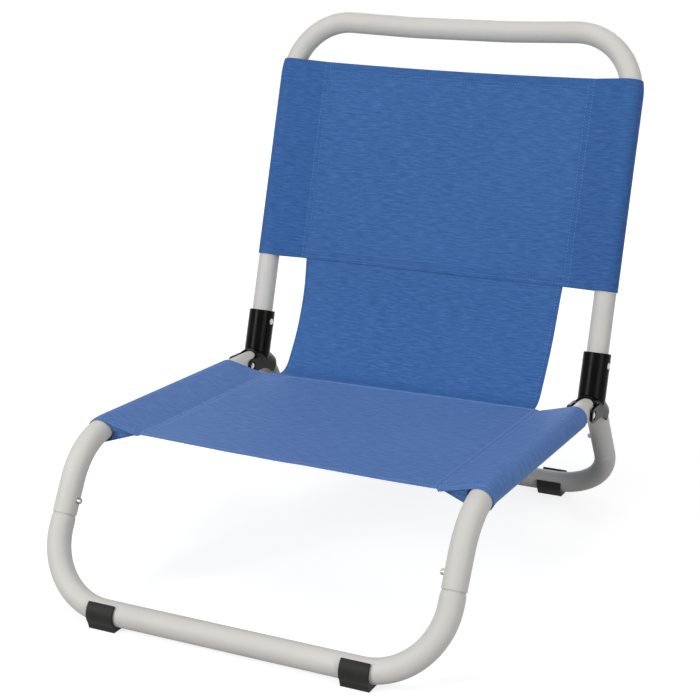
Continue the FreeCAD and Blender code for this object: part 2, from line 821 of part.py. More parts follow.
def add_sleeve(body):
    """The sleeve's outside, with a small chamfer round its mouth."""
    points = [
        ("0", "Sizes.socket_root"),
        ("Layout.socket_radius", "Sizes.socket_root"),
        ("Layout.socket_radius", "Sizes.socket_height - Sizes.socket_chamfer"),
        ("Layout.socket_radius - Sizes.socket_chamfer", "Sizes.socket_height"),
        ("0", "Sizes.socket_height"),
    ]
    section = upright_sketch(body, "SleeveSection")
    add_run(section, points)
    revolve(body, section, "Sleeve")


def cut_saddle(body):
    """The window, the rail's channel, the swing relief and the pivot's holes."""
    sill = "Sizes.ear_radius"
    back = "Sizes.saddle_window"
    corner = "Sizes.window_corner"
    front = f"-2 * {sill}"
    top = "Layout.saddle_radius + Sizes.tube_wall"
    points = [
        (front, sill),
        (f"{back} - {corner}", sill),
        (back, f"{sill} + {corner}"),
        (back, top),
        (front, top),
    ]
    window = new_sketch(body, "YZ_Plane", "WindowOutline")
    add_run(window, points, {1: ((f"{back} - {corner}", f"{sill} + {corner}"), True)})
    pocket(body, window, "Window", "4 * Layout.saddle_radius", symmetric=True)
    start = "Sizes.ear_radius + Sizes.saddle_wall"
    channel = new_sketch(body, "XZ_Plane", "ChannelArch", start)
    arch(channel, "Layout.saddle_bore", "Sizes.ear_radius + Sizes.saddle_wall")
    path = new_sketch(body, "YZ_Plane", "ChannelPath")
    bend_path(path, f"-({start})", "Sizes.saddle_wrap * 1.2")
    sweep(body, channel, path, "Channel", cut=True)
    width = "2 * Layout.saddle_bore"
    side_hole(body, "SwingRelief", "Layout.swing_relief", ("0", "0"), width)
    side_hole(body, "PivotHole", "Layout.pivot_hole", ("0", "0"), "2 * Sizes.tube_diameter")
    sketch = new_sketch(body, "YZ_Plane", "RecessCircle", "Layout.saddle_radius")
    add_circle(sketch, "Sizes.recess_diameter / 2")
    recess = pocket(body, sketch, "PivotRecess", "Sizes.recess_depth")
    mirror(body, [recess], "PivotRecesses")


def cut_sleeve(body):
    """The upright's bore, and the holes and recesses of its rivet."""
    points = [
        ("0", "Sizes.socket_floor"),
        ("Layout.socket_bore", "Sizes.socket_floor"),
        ("Layout.socket_bore", "Sizes.socket_height + Sizes.socket_wall"),
        ("0", "Sizes.socket_height + Sizes.socket_wall"),
    ]
    section = upright_sketch(body, "BoreSection")
    add_run(section, points)
    revolve(body, section, "Bore", cut=True)
    centre = ("0", "Sizes.socket_rivet_rise")
    hole = upright_sketch(body, "RivetCircle")
    add_circle(hole, "Sizes.socket_rivet_diameter / 2 + Sizes.pivot_gap", centre)
    pocket(body, hole, "RivetHole", "2 * Sizes.tube_diameter", symmetric=True)
    sketch = upright_sketch(body, "RivetRecessCircle")
    sketch.setExpression("AttachmentOffset.Base.z", "Layout.socket_radius")
    add_circle(sketch, "Sizes.recess_diameter / 2", centre)
    recess = pocket(body, sketch, "RivetRecess", "Sizes.recess_depth")
    mirror(body, [recess], "RivetRecesses")


def make_hinge(name, side):
    """A socket with its pivot rivet and the rivet that holds the upright."""
    x = rail_x(side)
    make_hinge_socket(name, side)
    pivot = make_rail_body(f"pivot_rivet_{name}", x)
    make_rivet(pivot, "Sizes.pivot_diameter / 2", "Layout.pivot_grip")
    rivet = make_back_body(f"socket_rivet_{name}", "Sizes.socket_rivet_rise", x)
    make_rivet(rivet, "Sizes.socket_rivet_diameter / 2", "Layout.socket_grip")


# ---------------------------------------------------------------- back frame


def make_back_frame():
    """The back's hoop: two uprights and a top bar that dips in the middle."""
    body = make_back_body("back_frame", "Sizes.back_height")
    foot = "Sizes.socket_floor + Sizes.socket_gap - Sizes.back_height"
    corners = [
        ("0", "0"),
        ("Sizes.top_flat", "0"),
        ("Layout.half_spacing", "Layout.top_rise"),
        ("Layout.half_spacing", foot),
    ]
    path = new_sketch(body, "XZ_Plane", "HoopPath")
    add_bent_line(path, corners, ["Sizes.top_dip_bend", "Sizes.back_bend"])
    ring = new_sketch(body, "YZ_Plane", "HoopRing")
    add_ring(ring, "Layout.tube_radius", "Layout.tube_bore")
    hoop = sweep(body, ring, path, "HoopTube")
    mirror(body, [hoop])
    centre = ("0", "Sizes.socket_rivet_rise - Sizes.back_height")
    radius = "Sizes.socket_rivet_diameter / 2 + Sizes.pivot_gap"
    side_hole(body, "RivetHole", radius, centre, "2 * Sizes.rail_spacing")


# ---------------------------------------------------------------- fabric


def make_seat_fabric():
    """The seat: a sheet between two sleeves that run along the rails."""
    body = make_rail_body("seat_fabric")
    section = new_sketch(body, "XZ_Plane", "SeatSection", "Sizes.seat_rear_gap")
    fabric_section(section)
    bend = "Sizes.rail_front_bend"
    points = [
        ("-Sizes.seat_rear_gap", "0"),
        ("-Layout.straight_ahead", "0"),
        ("-Layout.hem_reach", f"{bend} * (cos(Layout.overlap_angle) - 1)"),
    ]
    path = new_sketch(body, "YZ_Plane", "SeatPath")
    centre = ("-Layout.straight_ahead", f"-{bend}")
    add_run(path, points, {1: (centre, True)}, closed=False)
    half = sweep(body, section, path, "HalfSeat")
    mirror(body, [half])
    front = "-(Layout.hem_reach + Sizes.hem_hollow)"
    points = [
        ("-Layout.seam_x", "-Layout.hem_reach"),
        ("Layout.seam_x", "-Layout.hem_reach"),
        ("Layout.seam_x", front),
        ("-Layout.seam_x", front),
    ]
    hollow = new_sketch(body, "XY_Plane", "HemHollow")
    middle = ("0", "-(Layout.hem_reach - Sizes.hem_hollow + Layout.hem_radius)")
    add_run(hollow, points, {0: (middle, False)})
    pocket(body, hollow, "FrontHem", "2 * Sizes.rail_front_bend", symmetric=True)


def make_back_fabric():
    """The back panel, its sleeves opened where the hoop begins to bend in."""
    body = make_back_body("back_fabric", "Layout.panel_bottom")
    section = new_sketch(body, "XY_Plane", "PanelSection")
    fabric_section(section)
    half = body.newObject("PartDesign::Pad", "HalfPanel")
    half.Profile = section
    half.setExpression("Length", "Sizes.panel_height")
    start = "Layout.tube_radius"
    top = "Sizes.back_height - Layout.panel_bottom"
    corners = [
        ("Layout.half_spacing", f"-{start}"),
        ("Layout.half_spacing", f"{top} + Layout.top_rise"),
        ("Sizes.top_flat", top),
    ]
    path = new_sketch(body, "XZ_Plane", "HoopPath")
    add_bent_line(path, corners, ["Sizes.back_bend"])
    circle = new_sketch(body, "XY_Plane", "HoopCircle", f"-{start}")
    add_circle(circle, "Layout.sleeve_bore", ("Layout.half_spacing", "0"))
    room = sweep(body, circle, path, "HoopRoom", cut=True)
    mirror(body, [half, room])


def make_lower_back():
    """The loose sheet that hangs from the panel and sweeps forward to the seat."""
    body = make_rail_body("lower_back")
    start = "-(Sizes.seat_rear_gap - Sizes.drop_gap)"
    bow_y = (
        "(Sizes.drop_behind + Layout.drop_top_run) / 2"
        " + Sizes.drop_bow * Layout.drop_rise / Layout.drop_chord"
    )
    bow_z = (
        "(Layout.drop_top_rise - Sizes.drop_dip) / 2"
        " - Sizes.drop_bow * Layout.drop_run / Layout.drop_chord"
    )
    corners = [
        (start, "0"),
        ("Sizes.drop_behind", "-Sizes.drop_dip"),
        (bow_y, bow_z),
        ("Layout.drop_top_run", "Layout.drop_top_rise"),
    ]
    path = new_sketch(body, "YZ_Plane", "DropPath")
    add_bent_line(path, corners, ["Sizes.drop_bend", "Sizes.drop_bow_bend"])
    side = "Sizes.drop_width / 2"
    half = "Sizes.fabric_thickness / 2"
    points = [
        (f"-{side}", f"-{half}"),
        (side, f"-{half}"),
        (side, half),
        (f"-{side}", half),
    ]
    section = new_sketch(body, "XZ_Plane", "DropSection", f"-({start})")
    add_run(section, points)
    sweep(body, section, path, "Drop")


# ---------------------------------------------------------------- model


def build_model():
    """Make every sub-part of the chair."""
    write_sizes()
    for end in SPRUNG_ENDS:
        make_ground_bar(end)
    for name, side in SIDES.items():
        make_rail(name, side)
        make_hinge(name, side)
        for end in SPRUNG_ENDS:
            make_foot(end, name, side)
            make_snap_button(end, name, side)
            make_button_spring(end, name, side)
    make_back_frame()
    make_seat_fabric()
    make_back_fabric()
    make_lower_back()
    document.recompute()


def check_model():
    """Stop if any object of the document failed, or any sub-part is not sound."""
    for item in document.Objects:
        if "Invalid" in item.State or "Error" in item.State:
            raise RuntimeError(f"{item.Name} did not build: {item.State}")
    for body in bodies:
        if body.Shape.isNull() or not body.Shape.isValid():
            raise RuntimeError(f"{body.Label} is not a sound shape")
        if len(body.Shape.Solids) != 1:
            raise RuntimeError(f"{body.Label} is not one solid")


def export_model():
    """Write each sub-part to its own file."""
    os.makedirs("parts", exist_ok=True)
    for body in bodies:
        body.Shape.exportStep(f"parts/{body.Label}.step")


build_model()
check_model()
export_model()
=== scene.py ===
"""Low folding beach chair: its sewn cloth, its finishes and a plain studio.

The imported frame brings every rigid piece.  This script dresses those pieces,
sews the seat, the back panel and the loose lower back, and lights the chair.
"""

import json
import logging
import math
from collections.abc import Sequence
from dataclasses import dataclass
from enum import Enum

import bpy
import numpy as np
from mathutils import Matrix, Vector, noise


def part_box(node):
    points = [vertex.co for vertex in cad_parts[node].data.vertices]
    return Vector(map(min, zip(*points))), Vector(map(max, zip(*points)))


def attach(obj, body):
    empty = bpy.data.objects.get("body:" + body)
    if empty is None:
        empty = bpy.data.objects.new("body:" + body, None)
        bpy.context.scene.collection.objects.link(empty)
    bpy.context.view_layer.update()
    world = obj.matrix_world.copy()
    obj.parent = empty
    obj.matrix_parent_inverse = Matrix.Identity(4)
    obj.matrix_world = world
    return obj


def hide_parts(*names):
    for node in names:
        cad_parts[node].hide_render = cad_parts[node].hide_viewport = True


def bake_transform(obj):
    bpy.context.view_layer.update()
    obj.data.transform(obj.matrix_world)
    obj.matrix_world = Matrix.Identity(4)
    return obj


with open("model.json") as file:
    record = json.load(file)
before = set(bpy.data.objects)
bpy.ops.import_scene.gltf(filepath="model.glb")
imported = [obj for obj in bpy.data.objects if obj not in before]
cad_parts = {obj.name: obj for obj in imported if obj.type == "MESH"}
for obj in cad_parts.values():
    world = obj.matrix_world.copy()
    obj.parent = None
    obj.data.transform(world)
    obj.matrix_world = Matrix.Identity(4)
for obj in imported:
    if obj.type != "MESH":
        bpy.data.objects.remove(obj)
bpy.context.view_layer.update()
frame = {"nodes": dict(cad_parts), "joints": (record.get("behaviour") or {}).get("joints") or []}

LOG = logging.getLogger("beach_chair")
MM = 0.001
Colour = tuple[float, float, float]
Place = tuple[float, float, float]
SectionPoint = tuple[float, float, float, float]
Sewn = tuple[Vector, tuple[float, float]]


class Side(Enum):
    """The sitter's two sides, by the sign of X."""

    LEFT = 1
    RIGHT = -1

    @property
    def word(self) -> str:
        """The side's name in node names."""
        return self.name.lower()


# ------------------------------------------------------------------ layout


@dataclass(frozen=True)
class ChairLayout:
    """Centre lines of the chair, in metres and radians.

    Attributes:
        pivot: The hinge axis, at x = 0.
        half_spacing: Half the distance between the two rails.
        rail_pitch: How steeply the rails rise to the front.
        rail_straight: From the hinge to where the rails bend down, at front_bend.
        back_lean: How far the uprights lean back.
        socket_offset: How far they stand behind the hinge.
        hoop_bend: The radius of the hoop's corners, which start at hoop_bend_start.
    """

    pivot: Vector
    half_spacing: float
    rail_pitch: float = math.radians(1.53)
    rail_straight: float = 296.07 * MM
    front_bend: float = 71.7 * MM
    back_lean: float = math.radians(16.1)
    socket_offset: float = 35 * MM
    hoop_bend: float = 71.5 * MM
    hoop_bend_start: float = 361.8 * MM

    @classmethod
    def from_frame(cls) -> "ChairLayout":
        """Read the hinge and the rails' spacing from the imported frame.

        Returns:
            The layout.
        """
        low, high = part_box("rail_left")
        fold = next(j for j in frame["joints"] if j["name"] == "back_fold")
        return cls(pivot=Vector(fold["pos_m"]), half_spacing=(low.x + high.x) / 2)

    def on_rail(self, x: float, along: float, lift: float) -> Vector:
        """A point beside the rails' centre line.

        Args:
            x: Distance to the sitter's left.
            along: Distance forward from the hinge, along the rail.
            lift: Height above the centre line, square to it.

        Returns:
            The point in the row frame.
        """
        forward = Vector((0, -math.cos(self.rail_pitch), math.sin(self.rail_pitch)))
        upward = Vector((0, math.sin(self.rail_pitch), math.cos(self.rail_pitch)))
        bent = (along - self.rail_straight) / self.front_bend
        if bent <= 0:
            return self.pivot + Vector((x, 0, 0)) + forward * along + upward * lift
        centre = self.pivot + forward * self.rail_straight - upward * self.front_bend
        arm = self.front_bend + lift
        spoke = forward * math.sin(bent) + upward * math.cos(bent)
        return centre + Vector((x, 0, 0)) + spoke * arm

    def on_back(self, x: float, along: float, lift: float) -> Vector:
        """A point beside the uprights' plane.

        Args:
            x: Distance to the sitter's left.
            along: Distance up the uprights from the level of the hinge.
            lift: Distance in front of the plane.

        Returns:
            The point in the row frame.
        """
        upward = Vector((0, math.sin(self.back_lean), math.cos(self.back_lean)))
        rearward = Vector((0, math.cos(self.back_lean), -math.sin(self.back_lean)))
        reach = rearward * (self.socket_offset - lift)
        return self.pivot + Vector((x, 0, 0)) + reach + upward * along

    def hoop_shift(self, along: float) -> float:
        """How far the hoop has bent inward at a height up the uprights."""
        rise = max(along - self.hoop_bend_start, 0.0)
        return self.hoop_bend - math.sqrt(self.hoop_bend**2 - rise**2)


# ---------------------------------------------------------------- shaders


def placed(name: str, data: bpy.types.ID) -> bpy.types.Object:
    """A new object in the scene, with that data.

    Args:
        name: The object's name.
        data: Its mesh, lamp or camera.

    Returns:
        The object.
    """
    piece = bpy.data.objects.new(name, data)
    bpy.context.scene.collection.objects.link(piece)
    return piece


class NodeTree:
    """A node tree of any kind, and short ways to fill it."""

    def __init__(self, tree: bpy.types.NodeTree) -> None:
        """Work on that tree."""
        self.tree = tree

    def add(self, kind: str, **settings: object) -> bpy.types.Node:
        """Add a node and set its plain properties.

        Args:
            kind: The node's type.
            **settings: Its plain properties.

        Returns:
            The node.
        """
        node = self.tree.nodes.new(kind)
        for name, value in settings.items():
            setattr(node, name, value)
        return node

    def link(self, source: bpy.types.NodeSocket, target: bpy.types.NodeSocket) -> None:
        """Join an output to an input."""
        self.tree.links.new(source, target)

    def seen(self) -> bpy.types.NodeSocket:
        """One where the camera, a reflection or a clear surface sees the point.

        Returns:
            A value of one where it is seen, and zero elsewhere.
        """
        path = self.add("ShaderNodeLightPath")
        total = path.outputs["Is Camera Ray"]
        for name in ("Is Glossy Ray", "Is Transmission Ray"):
            either = self.add("ShaderNodeMath", operation="MAXIMUM")
            self.link(total, either.inputs[0])
            self.link(path.outputs[name], either.inputs[1])
            total = either.outputs["Value"]
        return total


class Shader(NodeTree):
    """A material with one Principled shader and the nodes that feed it."""

    def __init__(self, name: str) -> None:
        """Make an empty material of that name.

        Args:
            name: The material's name.
        """
        self.material = bpy.data.materials.new(name)
        self.material.use_nodes = True
        super().__init__(self.material.node_tree)
        self.surface = self.tree.nodes["Principled BSDF"]

    def set(self, **values: object) -> None:
        """Set the shader's own sockets, by name with spaces written as underscores."""
        for name, value in values.items():
            self.surface.inputs[name.replace("_", " ")].default_value = value

    def feed(self, name: str, value: bpy.types.NodeSocket) -> None:
        """Drive one of the shader's own sockets."""
        self.link(value, self.surface.inputs[name])

    def coordinates(self, scale: Sequence[float], uv: bool = False) -> bpy.types.NodeSocket:
        """Object or UV coordinates, scaled on each axis.

        Args:
            scale: The factor on each axis.
            uv: Whether to read the piece's own UV map.

        Returns:
            The scaled vector.
        """
        source = self.add("ShaderNodeTexCoord")
        mapping = self.add("ShaderNodeMapping")
        mapping.inputs["Scale"].default_value = tuple(scale)
        self.link(source.outputs["UV" if uv else "Object"], mapping.inputs["Vector"])
        return mapping.outputs["Vector"]

    def noise(
        self,
        vector: bpy.types.NodeSocket,
        scale: float,
        detail: float = 2.0,
        roughness: float = 0.5,
    ) -> bpy.types.NodeSocket:
        """A noise from 0 to 1.

        Args:
            vector: Where to read it.
            scale: How fine it is.
            detail: How many finer layers it has.
            roughness: How strong those are.

        Returns:
            The noise.
        """
        node = self.add("ShaderNodeTexNoise")
        for name, value in (("Scale", scale), ("Detail", detail), ("Roughness", roughness)):
            node.inputs[name].default_value = value
        self.link(vector, node.inputs["Vector"])
        return node.outputs["Fac"]

    def ramp(
        self, value: bpy.types.NodeSocket, stops: Sequence[tuple[float, Colour]]
    ) -> bpy.types.NodeSocket:
        """Colours between stops.

        Args:
            value: What picks the colour.
            stops: Places from 0 to 1 and their colours.

        Returns:
            The colour.
        """
        node = self.add("ShaderNodeValToRGB")
        elements = node.color_ramp.elements
        while len(elements) < len(stops):
            elements.new(0.5)
        for element, (place, colour) in zip(elements, stops):
            element.position = place
            element.color = (*colour, 1.0)
        self.link(value, node.inputs["Fac"])
        return node.outputs["Color"]

    def span(
        self, value: bpy.types.NodeSocket, low: float, high: float, start: float, end: float
    ) -> bpy.types.NodeSocket:
        """Map low..high of a value to start..end, and hold it there outside.

        Args:
            value: The value to map.
            low: Where it starts.
            high: Where it ends.
            start: What low becomes.
            end: What high becomes.

        Returns:
            The mapped value.
        """
        node = self.add("ShaderNodeMapRange")
        names = ("From Min", "From Max", "To Min", "To Max")
        for name, number in zip(names, (low, high, start, end)):
            node.inputs[name].default_value = number
        self.link(value, node.inputs["Value"])
        return node.outputs["Result"]

    def maths(
        self, operation: str, first: bpy.types.NodeSocket, second: object = None
    ) -> bpy.types.NodeSocket:
        """A sum, product or other function of one or two values.

        Args:
            operation: The node's operation.
            first: The first value.
            second: The second, as a socket or a number.

        Returns:
            The result.
        """
        node = self.add("ShaderNodeMath", operation=operation)
        self.link(first, node.inputs[0])
        if isinstance(second, (int, float)):
            node.inputs[1].default_value = second
        elif second is not None:
            self.link(second, node.inputs[1])
        return node.outputs["Value"]

    def mix(
        self, share: bpy.types.NodeSocket, first: object, second: object
    ) -> bpy.types.NodeSocket:
        """Blend two colours, each a socket or a plain colour.

        Args:
            share: How much of the second colour.
            first: The first colour.
            second: The second colour.

        Returns:
            The blend.
        """
        node = self.add("ShaderNodeMix", data_type="RGBA")
        self.link(share, node.inputs["Factor"])
        for name, colour in (("A", first), ("B", second)):
            socket = next(s for s in node.inputs if s.name == name and s.type == "RGBA")
            if isinstance(colour, tuple):
                socket.default_value = (*colour, 1.0)
            else:
                self.link(colour, socket)
        return next(s for s in node.outputs if s.type == "RGBA")

    def bump(self, height: bpy.types.NodeSocket, strength: float, distance: float) -> None:
        """Raise the surface by a height in 0..1 times a distance.

        Args:
            height: The height.
            strength: How strongly it is felt.
            distance: How high a height of 1 stands.
        """
        node = self.add("ShaderNodeBump")
        node.inputs["Strength"].default_value = strength
        node.inputs["Distance"].default_value = distance
        self.link(height, node.inputs["Height"])
        if self.surface.inputs["Normal"].is_linked:
            before = self.surface.inputs["Normal"].links[0].from_socket
            self.link(before, node.inputs["Normal"])
        self.link(node.outputs["Normal"], self.surface.inputs["Normal"])


@dataclass(frozen=True)
class Finish:
    """A finish with one main colour."""

    name: str
    colour: Colour

    def shade(self, factor: float, offset: float = 0.0) -> Colour:
        """The main colour, made lighter or darker."""
        return tuple(min(c * factor + offset, 1.0) for c in self.colour)

    def paint(self, shader: Shader) -> None:
        """Add the finish's nodes."""
        raise NotImplementedError

    def material(self) -> bpy.types.Material:
        """Build the finish.

        Returns:
            The material.
        """
        shader = Shader(self.name)
        self.paint(shader)
        return shader.material


@dataclass(frozen=True)
class PowderCoat(Finish):
    """Satin powder coat on steel tube, with a fine orange peel."""

    roughness: float = 0.45
    gloss: float = 0.1
    peel_size: float = 1.1 * MM
    peel_depth: float = 0.02 * MM

    def paint(self, shader: Shader) -> None:
        """Add a cloudy tint, smudges and the peel.

        Args:
            shader: The shader to fill.
        """
        shader.set(Specular_IOR_Level=self.gloss)
        place = shader.coordinates((1, 1, 1))
        cloud = shader.noise(place, 9.0, detail=4.0)
        tint = shader.ramp(cloud, [(0.35, self.shade(0.96)), (0.65, self.shade(1.03))])
        shader.feed("Base Color", tint)
        smudge = shader.noise(place, 26.0, detail=3.0)
        rough = shader.span(smudge, 0.3, 0.7, self.roughness - 0.03, self.roughness + 0.05)
        shader.feed("Roughness", rough)
        peel = shader.noise(place, 1.0 / self.peel_size, detail=1.0)
        shader.bump(peel, 0.35, self.peel_depth)


@dataclass(frozen=True)
class MouldedPlastic(Finish):
    """Injection-moulded plastic with a faint grain and scuffed highlights."""

    roughness: float = 0.2
    gloss: float = 0.06
    grain_size: float = 0.5 * MM
    grain_depth: float = 0.015 * MM

    def paint(self, shader: Shader) -> None:
        """Add scuffs and the grain.

        Args:
            shader: The shader to fill.
        """
        shader.set(Specular_IOR_Level=self.gloss)
        place = shader.coordinates((1, 1, 1))
        scuff = shader.noise(place, 60.0, detail=5.0, roughness=0.6)
        tint = shader.ramp(scuff, [(0.45, self.colour), (0.75, self.shade(1.6, 0.0006))])
        shader.feed("Base Color", tint)
        rough = shader.span(scuff, 0.35, 0.7, self.roughness, self.roughness + 0.12)
        shader.feed("Roughness", rough)
        grain = shader.noise(place, 1.0 / self.grain_size, detail=1.0)
        shader.bump(grain, 0.3, self.grain_depth)


@dataclass(frozen=True)
class PlatedSteel(Finish):
    """Plated or plain steel of small parts, with fine tool marks."""

    roughness: float
    mark_size: float = 0.35 * MM
    mark_depth: float = 0.01 * MM

    def paint(self, shader: Shader) -> None:
        """Add the tool marks.

        Args:
            shader: The shader to fill.
        """
        shader.set(Metallic=1.0)
        place = shader.coordinates((1, 1, 4))
        marks = shader.noise(place, 1.0 / self.mark_size / 4, detail=3.0)
        tint = shader.ramp(marks, [(0.3, self.shade(0.82)), (0.7, self.colour)])
        shader.feed("Base Color", tint)
        rough = shader.span(marks, 0.3, 0.7, self.roughness * 0.8, self.roughness * 1.3)
        shader.feed("Roughness", rough)
        shader.bump(marks, 0.25, self.mark_depth)


@dataclass(frozen=True)
class SlubCloth(Finish):
    """Plain-woven cloth whose weft has thick and thin places.

    Attributes:
        light: The colour of the raised slubs.
        dark: The colour between the slubs.
        slub_length: The usual length of a slub, along U.
        slub_pitch: The usual distance between slubs, along V.
        wander: How far a slub strays from its line.
        thread: The pitch of the weave.
        slub_height: How far the slubs stand out.
        thread_height: How far the threads of the weave stand out.
        leak: The share of the light that passes into the cloth.
        leak_depth: How far that light goes.
    """

    light: Colour
    dark: Colour
    slub_length: float = 15 * MM
    slub_pitch: float = 2.1 * MM
    wander: float = 2.6 * MM
    thread: float = 0.85 * MM
    roughness: float = 0.72
    slub_height: float = 0.16 * MM
    thread_height: float = 0.09 * MM
    leak: float = 0.1
    leak_depth: float = 4 * MM

    def paint(self, shader: Shader) -> None:
        """Add the slubs, the faded places and the weave.

        Args:
            shader: The shader to fill.
        """
        shader.set(Sheen_Weight=0.05, Sheen_Roughness=0.35, Specular_IOR_Level=0.3)
        shader.set(Subsurface_Weight=self.leak, Subsurface_Scale=self.leak_depth)
        shader.set(Subsurface_Radius=(1.0, 1.0, 1.0))
        slubs = self.slubs(shader)
        tint = shader.ramp(slubs, [(0.30, self.dark), (0.52, self.colour), (0.72, self.light)])
        fade = shader.noise(shader.coordinates((1, 1, 1), uv=True), 5.0, detail=3.0)
        share = shader.span(fade, 0.35, 0.65, 0.0, 0.22)
        shader.feed("Base Color", shader.mix(share, tint, self.light))
        rough = shader.span(slubs, 0.3, 0.7, self.roughness + 0.08, self.roughness - 0.04)
        shader.feed("Roughness", rough)
        shader.bump(slubs, 0.55, self.slub_height)
        shader.bump(self.weave(shader), 0.45, self.thread_height)

    def slubs(self, shader: Shader) -> bpy.types.NodeSocket:
        """Long, slightly wandering streaks along the weft.

        Args:
            shader: The shader to fill.

        Returns:
            Their height, from 0 to 1.
        """
        drift = shader.noise(shader.coordinates((1, 1, 1), uv=True), 34.0, detail=1.0)
        coordinates = shader.add("ShaderNodeTexCoord")
        parts = shader.add("ShaderNodeSeparateXYZ")
        shader.link(coordinates.outputs["UV"], parts.inputs["Vector"])
        across = shader.maths("MULTIPLY", parts.outputs["X"], 1.0 / self.slub_length)
        wander = shader.span(drift, 0.0, 1.0, -self.wander, self.wander)
        height = shader.maths("ADD", parts.outputs["Y"], wander)
        along = shader.maths("MULTIPLY", height, 1.0 / self.slub_pitch)
        join = shader.add("ShaderNodeCombineXYZ")
        shader.link(across, join.inputs["X"])
        shader.link(along, join.inputs["Y"])
        return shader.noise(join.outputs["Vector"], 1.0, detail=3.0, roughness=0.66)

    def weave(self, shader: Shader) -> bpy.types.NodeSocket:
        """The over-and-under of a plain weave, from 0 to 1.

        Args:
            shader: The shader to fill.

        Returns:
            Its height.
        """
        turns = 2 * math.pi / self.thread
        place = shader.add("ShaderNodeSeparateXYZ")
        shader.link(shader.coordinates((turns, turns, 1), uv=True), place.inputs["Vector"])
        first = shader.maths("SINE", place.outputs["X"])
        second = shader.maths("SINE", place.outputs["Y"])
        product = shader.maths("MULTIPLY", first, second)
        return shader.span(product, -1.0, 1.0, 0.0, 1.0)


@dataclass(frozen=True)
class Thread(Finish):
    """Twisted sewing thread."""

    twist_depth: float = 0.05 * MM

    def paint(self, shader: Shader) -> None:
        """Add the twist.

        Args:
            shader: The shader to fill.
        """
        shader.set(Roughness=0.6, Sheen_Weight=0.2)
        twist = shader.noise(shader.coordinates((1, 1, 1)), 1800.0, detail=1.0)
        shader.feed("Base Color", shader.ramp(twist, [(0.4, self.shade(0.8)), (0.6, self.colour)]))
        shader.bump(twist, 0.4, self.twist_depth)


@dataclass(frozen=True)
class Finishes:
    """Every finish of the chair, made once."""

    tube: bpy.types.Material
    plastic: bpy.types.Material
    rubber: bpy.types.Material
    plate: bpy.types.Material
    button: bpy.types.Material
    spring: bpy.types.Material
    seat_cloth: bpy.types.Material
    back_cloth: bpy.types.Material
    seat_thread: bpy.types.Material
    back_thread: bpy.types.Material

    @classmethod
    def build(cls) -> "Finishes":
        """Make the materials.

        Returns:
            The finishes.
        """
        finishes = {
            "tube": PowderCoat("powder_coat_grey", (0.56, 0.55, 0.52)),
            "plastic": MouldedPlastic("moulded_black", (0.0008, 0.0008, 0.0008)),
            "rubber": MouldedPlastic("foot_rubber", (0.013, 0.013, 0.0125), 0.5, 0.16),
            "plate": PlatedSteel("zinc_plate", (0.6, 0.6, 0.59), 0.28),
            # The buttons take the zinc plate darkened: painted shade that dulls the lamps'
            # reflection on them.
            "button": PlatedSteel("button_steel", (0.38, 0.38, 0.385), 0.36),
            "spring": PlatedSteel("spring_strip", (0.42, 0.42, 0.44), 0.35),
            # The seat's colours are the back cloth's made lighter: painted sheen, standing for the
            # grazing reflection off the level seat.
            "seat_cloth": SlubCloth(
                "seat_cloth", (0.065, 0.153, 0.39), (0.094, 0.193, 0.455), (0.044, 0.116, 0.315)
            ),
            "back_cloth": SlubCloth(
                "back_cloth", (0.0236, 0.0945, 0.284), (0.037, 0.121, 0.334), (0.0135, 0.07, 0.228)
            ),
            "seat_thread": Thread("seat_thread", (0.19, 0.29, 0.58)),
            "back_thread": Thread("back_thread", (0.085, 0.185, 0.44)),
        }
        return cls(**{use: finish.material() for use, finish in finishes.items()})


# ------------------------------------------------------------------- cloth


def ripple(x: float, along: float, size: float, seed: int) -> float:
    """Smooth noise between about -1 and 1.

    Args:
        x: Place across the cloth.
        along: Place along the cloth.
        size: Distance between neighbouring swells.
        seed: Picks one pattern.

    Returns:
        The noise there.
    """
    return 1.6 * noise.noise(Vector((x / size, along / size, 7.31 * seed + 0.37)))


def flat_steps(start: float, end: float, count: int) -> list[float]:
    """Evenly spaced numbers from start to end, both included."""
    return [start + (end - start) * i / (count - 1) for i in range(count)]


def folded(
    count: int, length: float, turned: float, ply: float, bend_steps: int = 5
) -> list[tuple[float, float]]:
    """Stations along a cloth whose two edges are turned under.

    Args:
        count: Stations on the face of the cloth.
        length: Length of the face.
        turned: Width of each turned edge.
        ply: Distance between the face and the turned edge under it.
        bend_steps: Stations round each fold.

    Returns:
        Pairs of the place along the face, from 0 to length, and the depth under it.
    """
    close = [0.0, 0.9 * MM, 1.9 * MM]  # tight rows keep each folded edge crisp
    margin = 3 * MM
    inner = flat_steps(margin, length - margin, count - 2 * len(close))
    places = close + inner + [length - place for place in reversed(close)]
    face = [(place, 0.0) for place in places]
    bend = [
        (length + ply / 2 * math.sin(angle), ply * (1 - math.cos(angle)) / 2)
        for angle in flat_steps(0.0, math.pi, bend_steps + 1)[1:]
    ]
    tail = [(length - turned * s, ply) for s in (0.3, 0.6, 1.0)]
    end = bend + tail
    start = [(length - place, depth) for place, depth in reversed(end)]
    return start + face + end


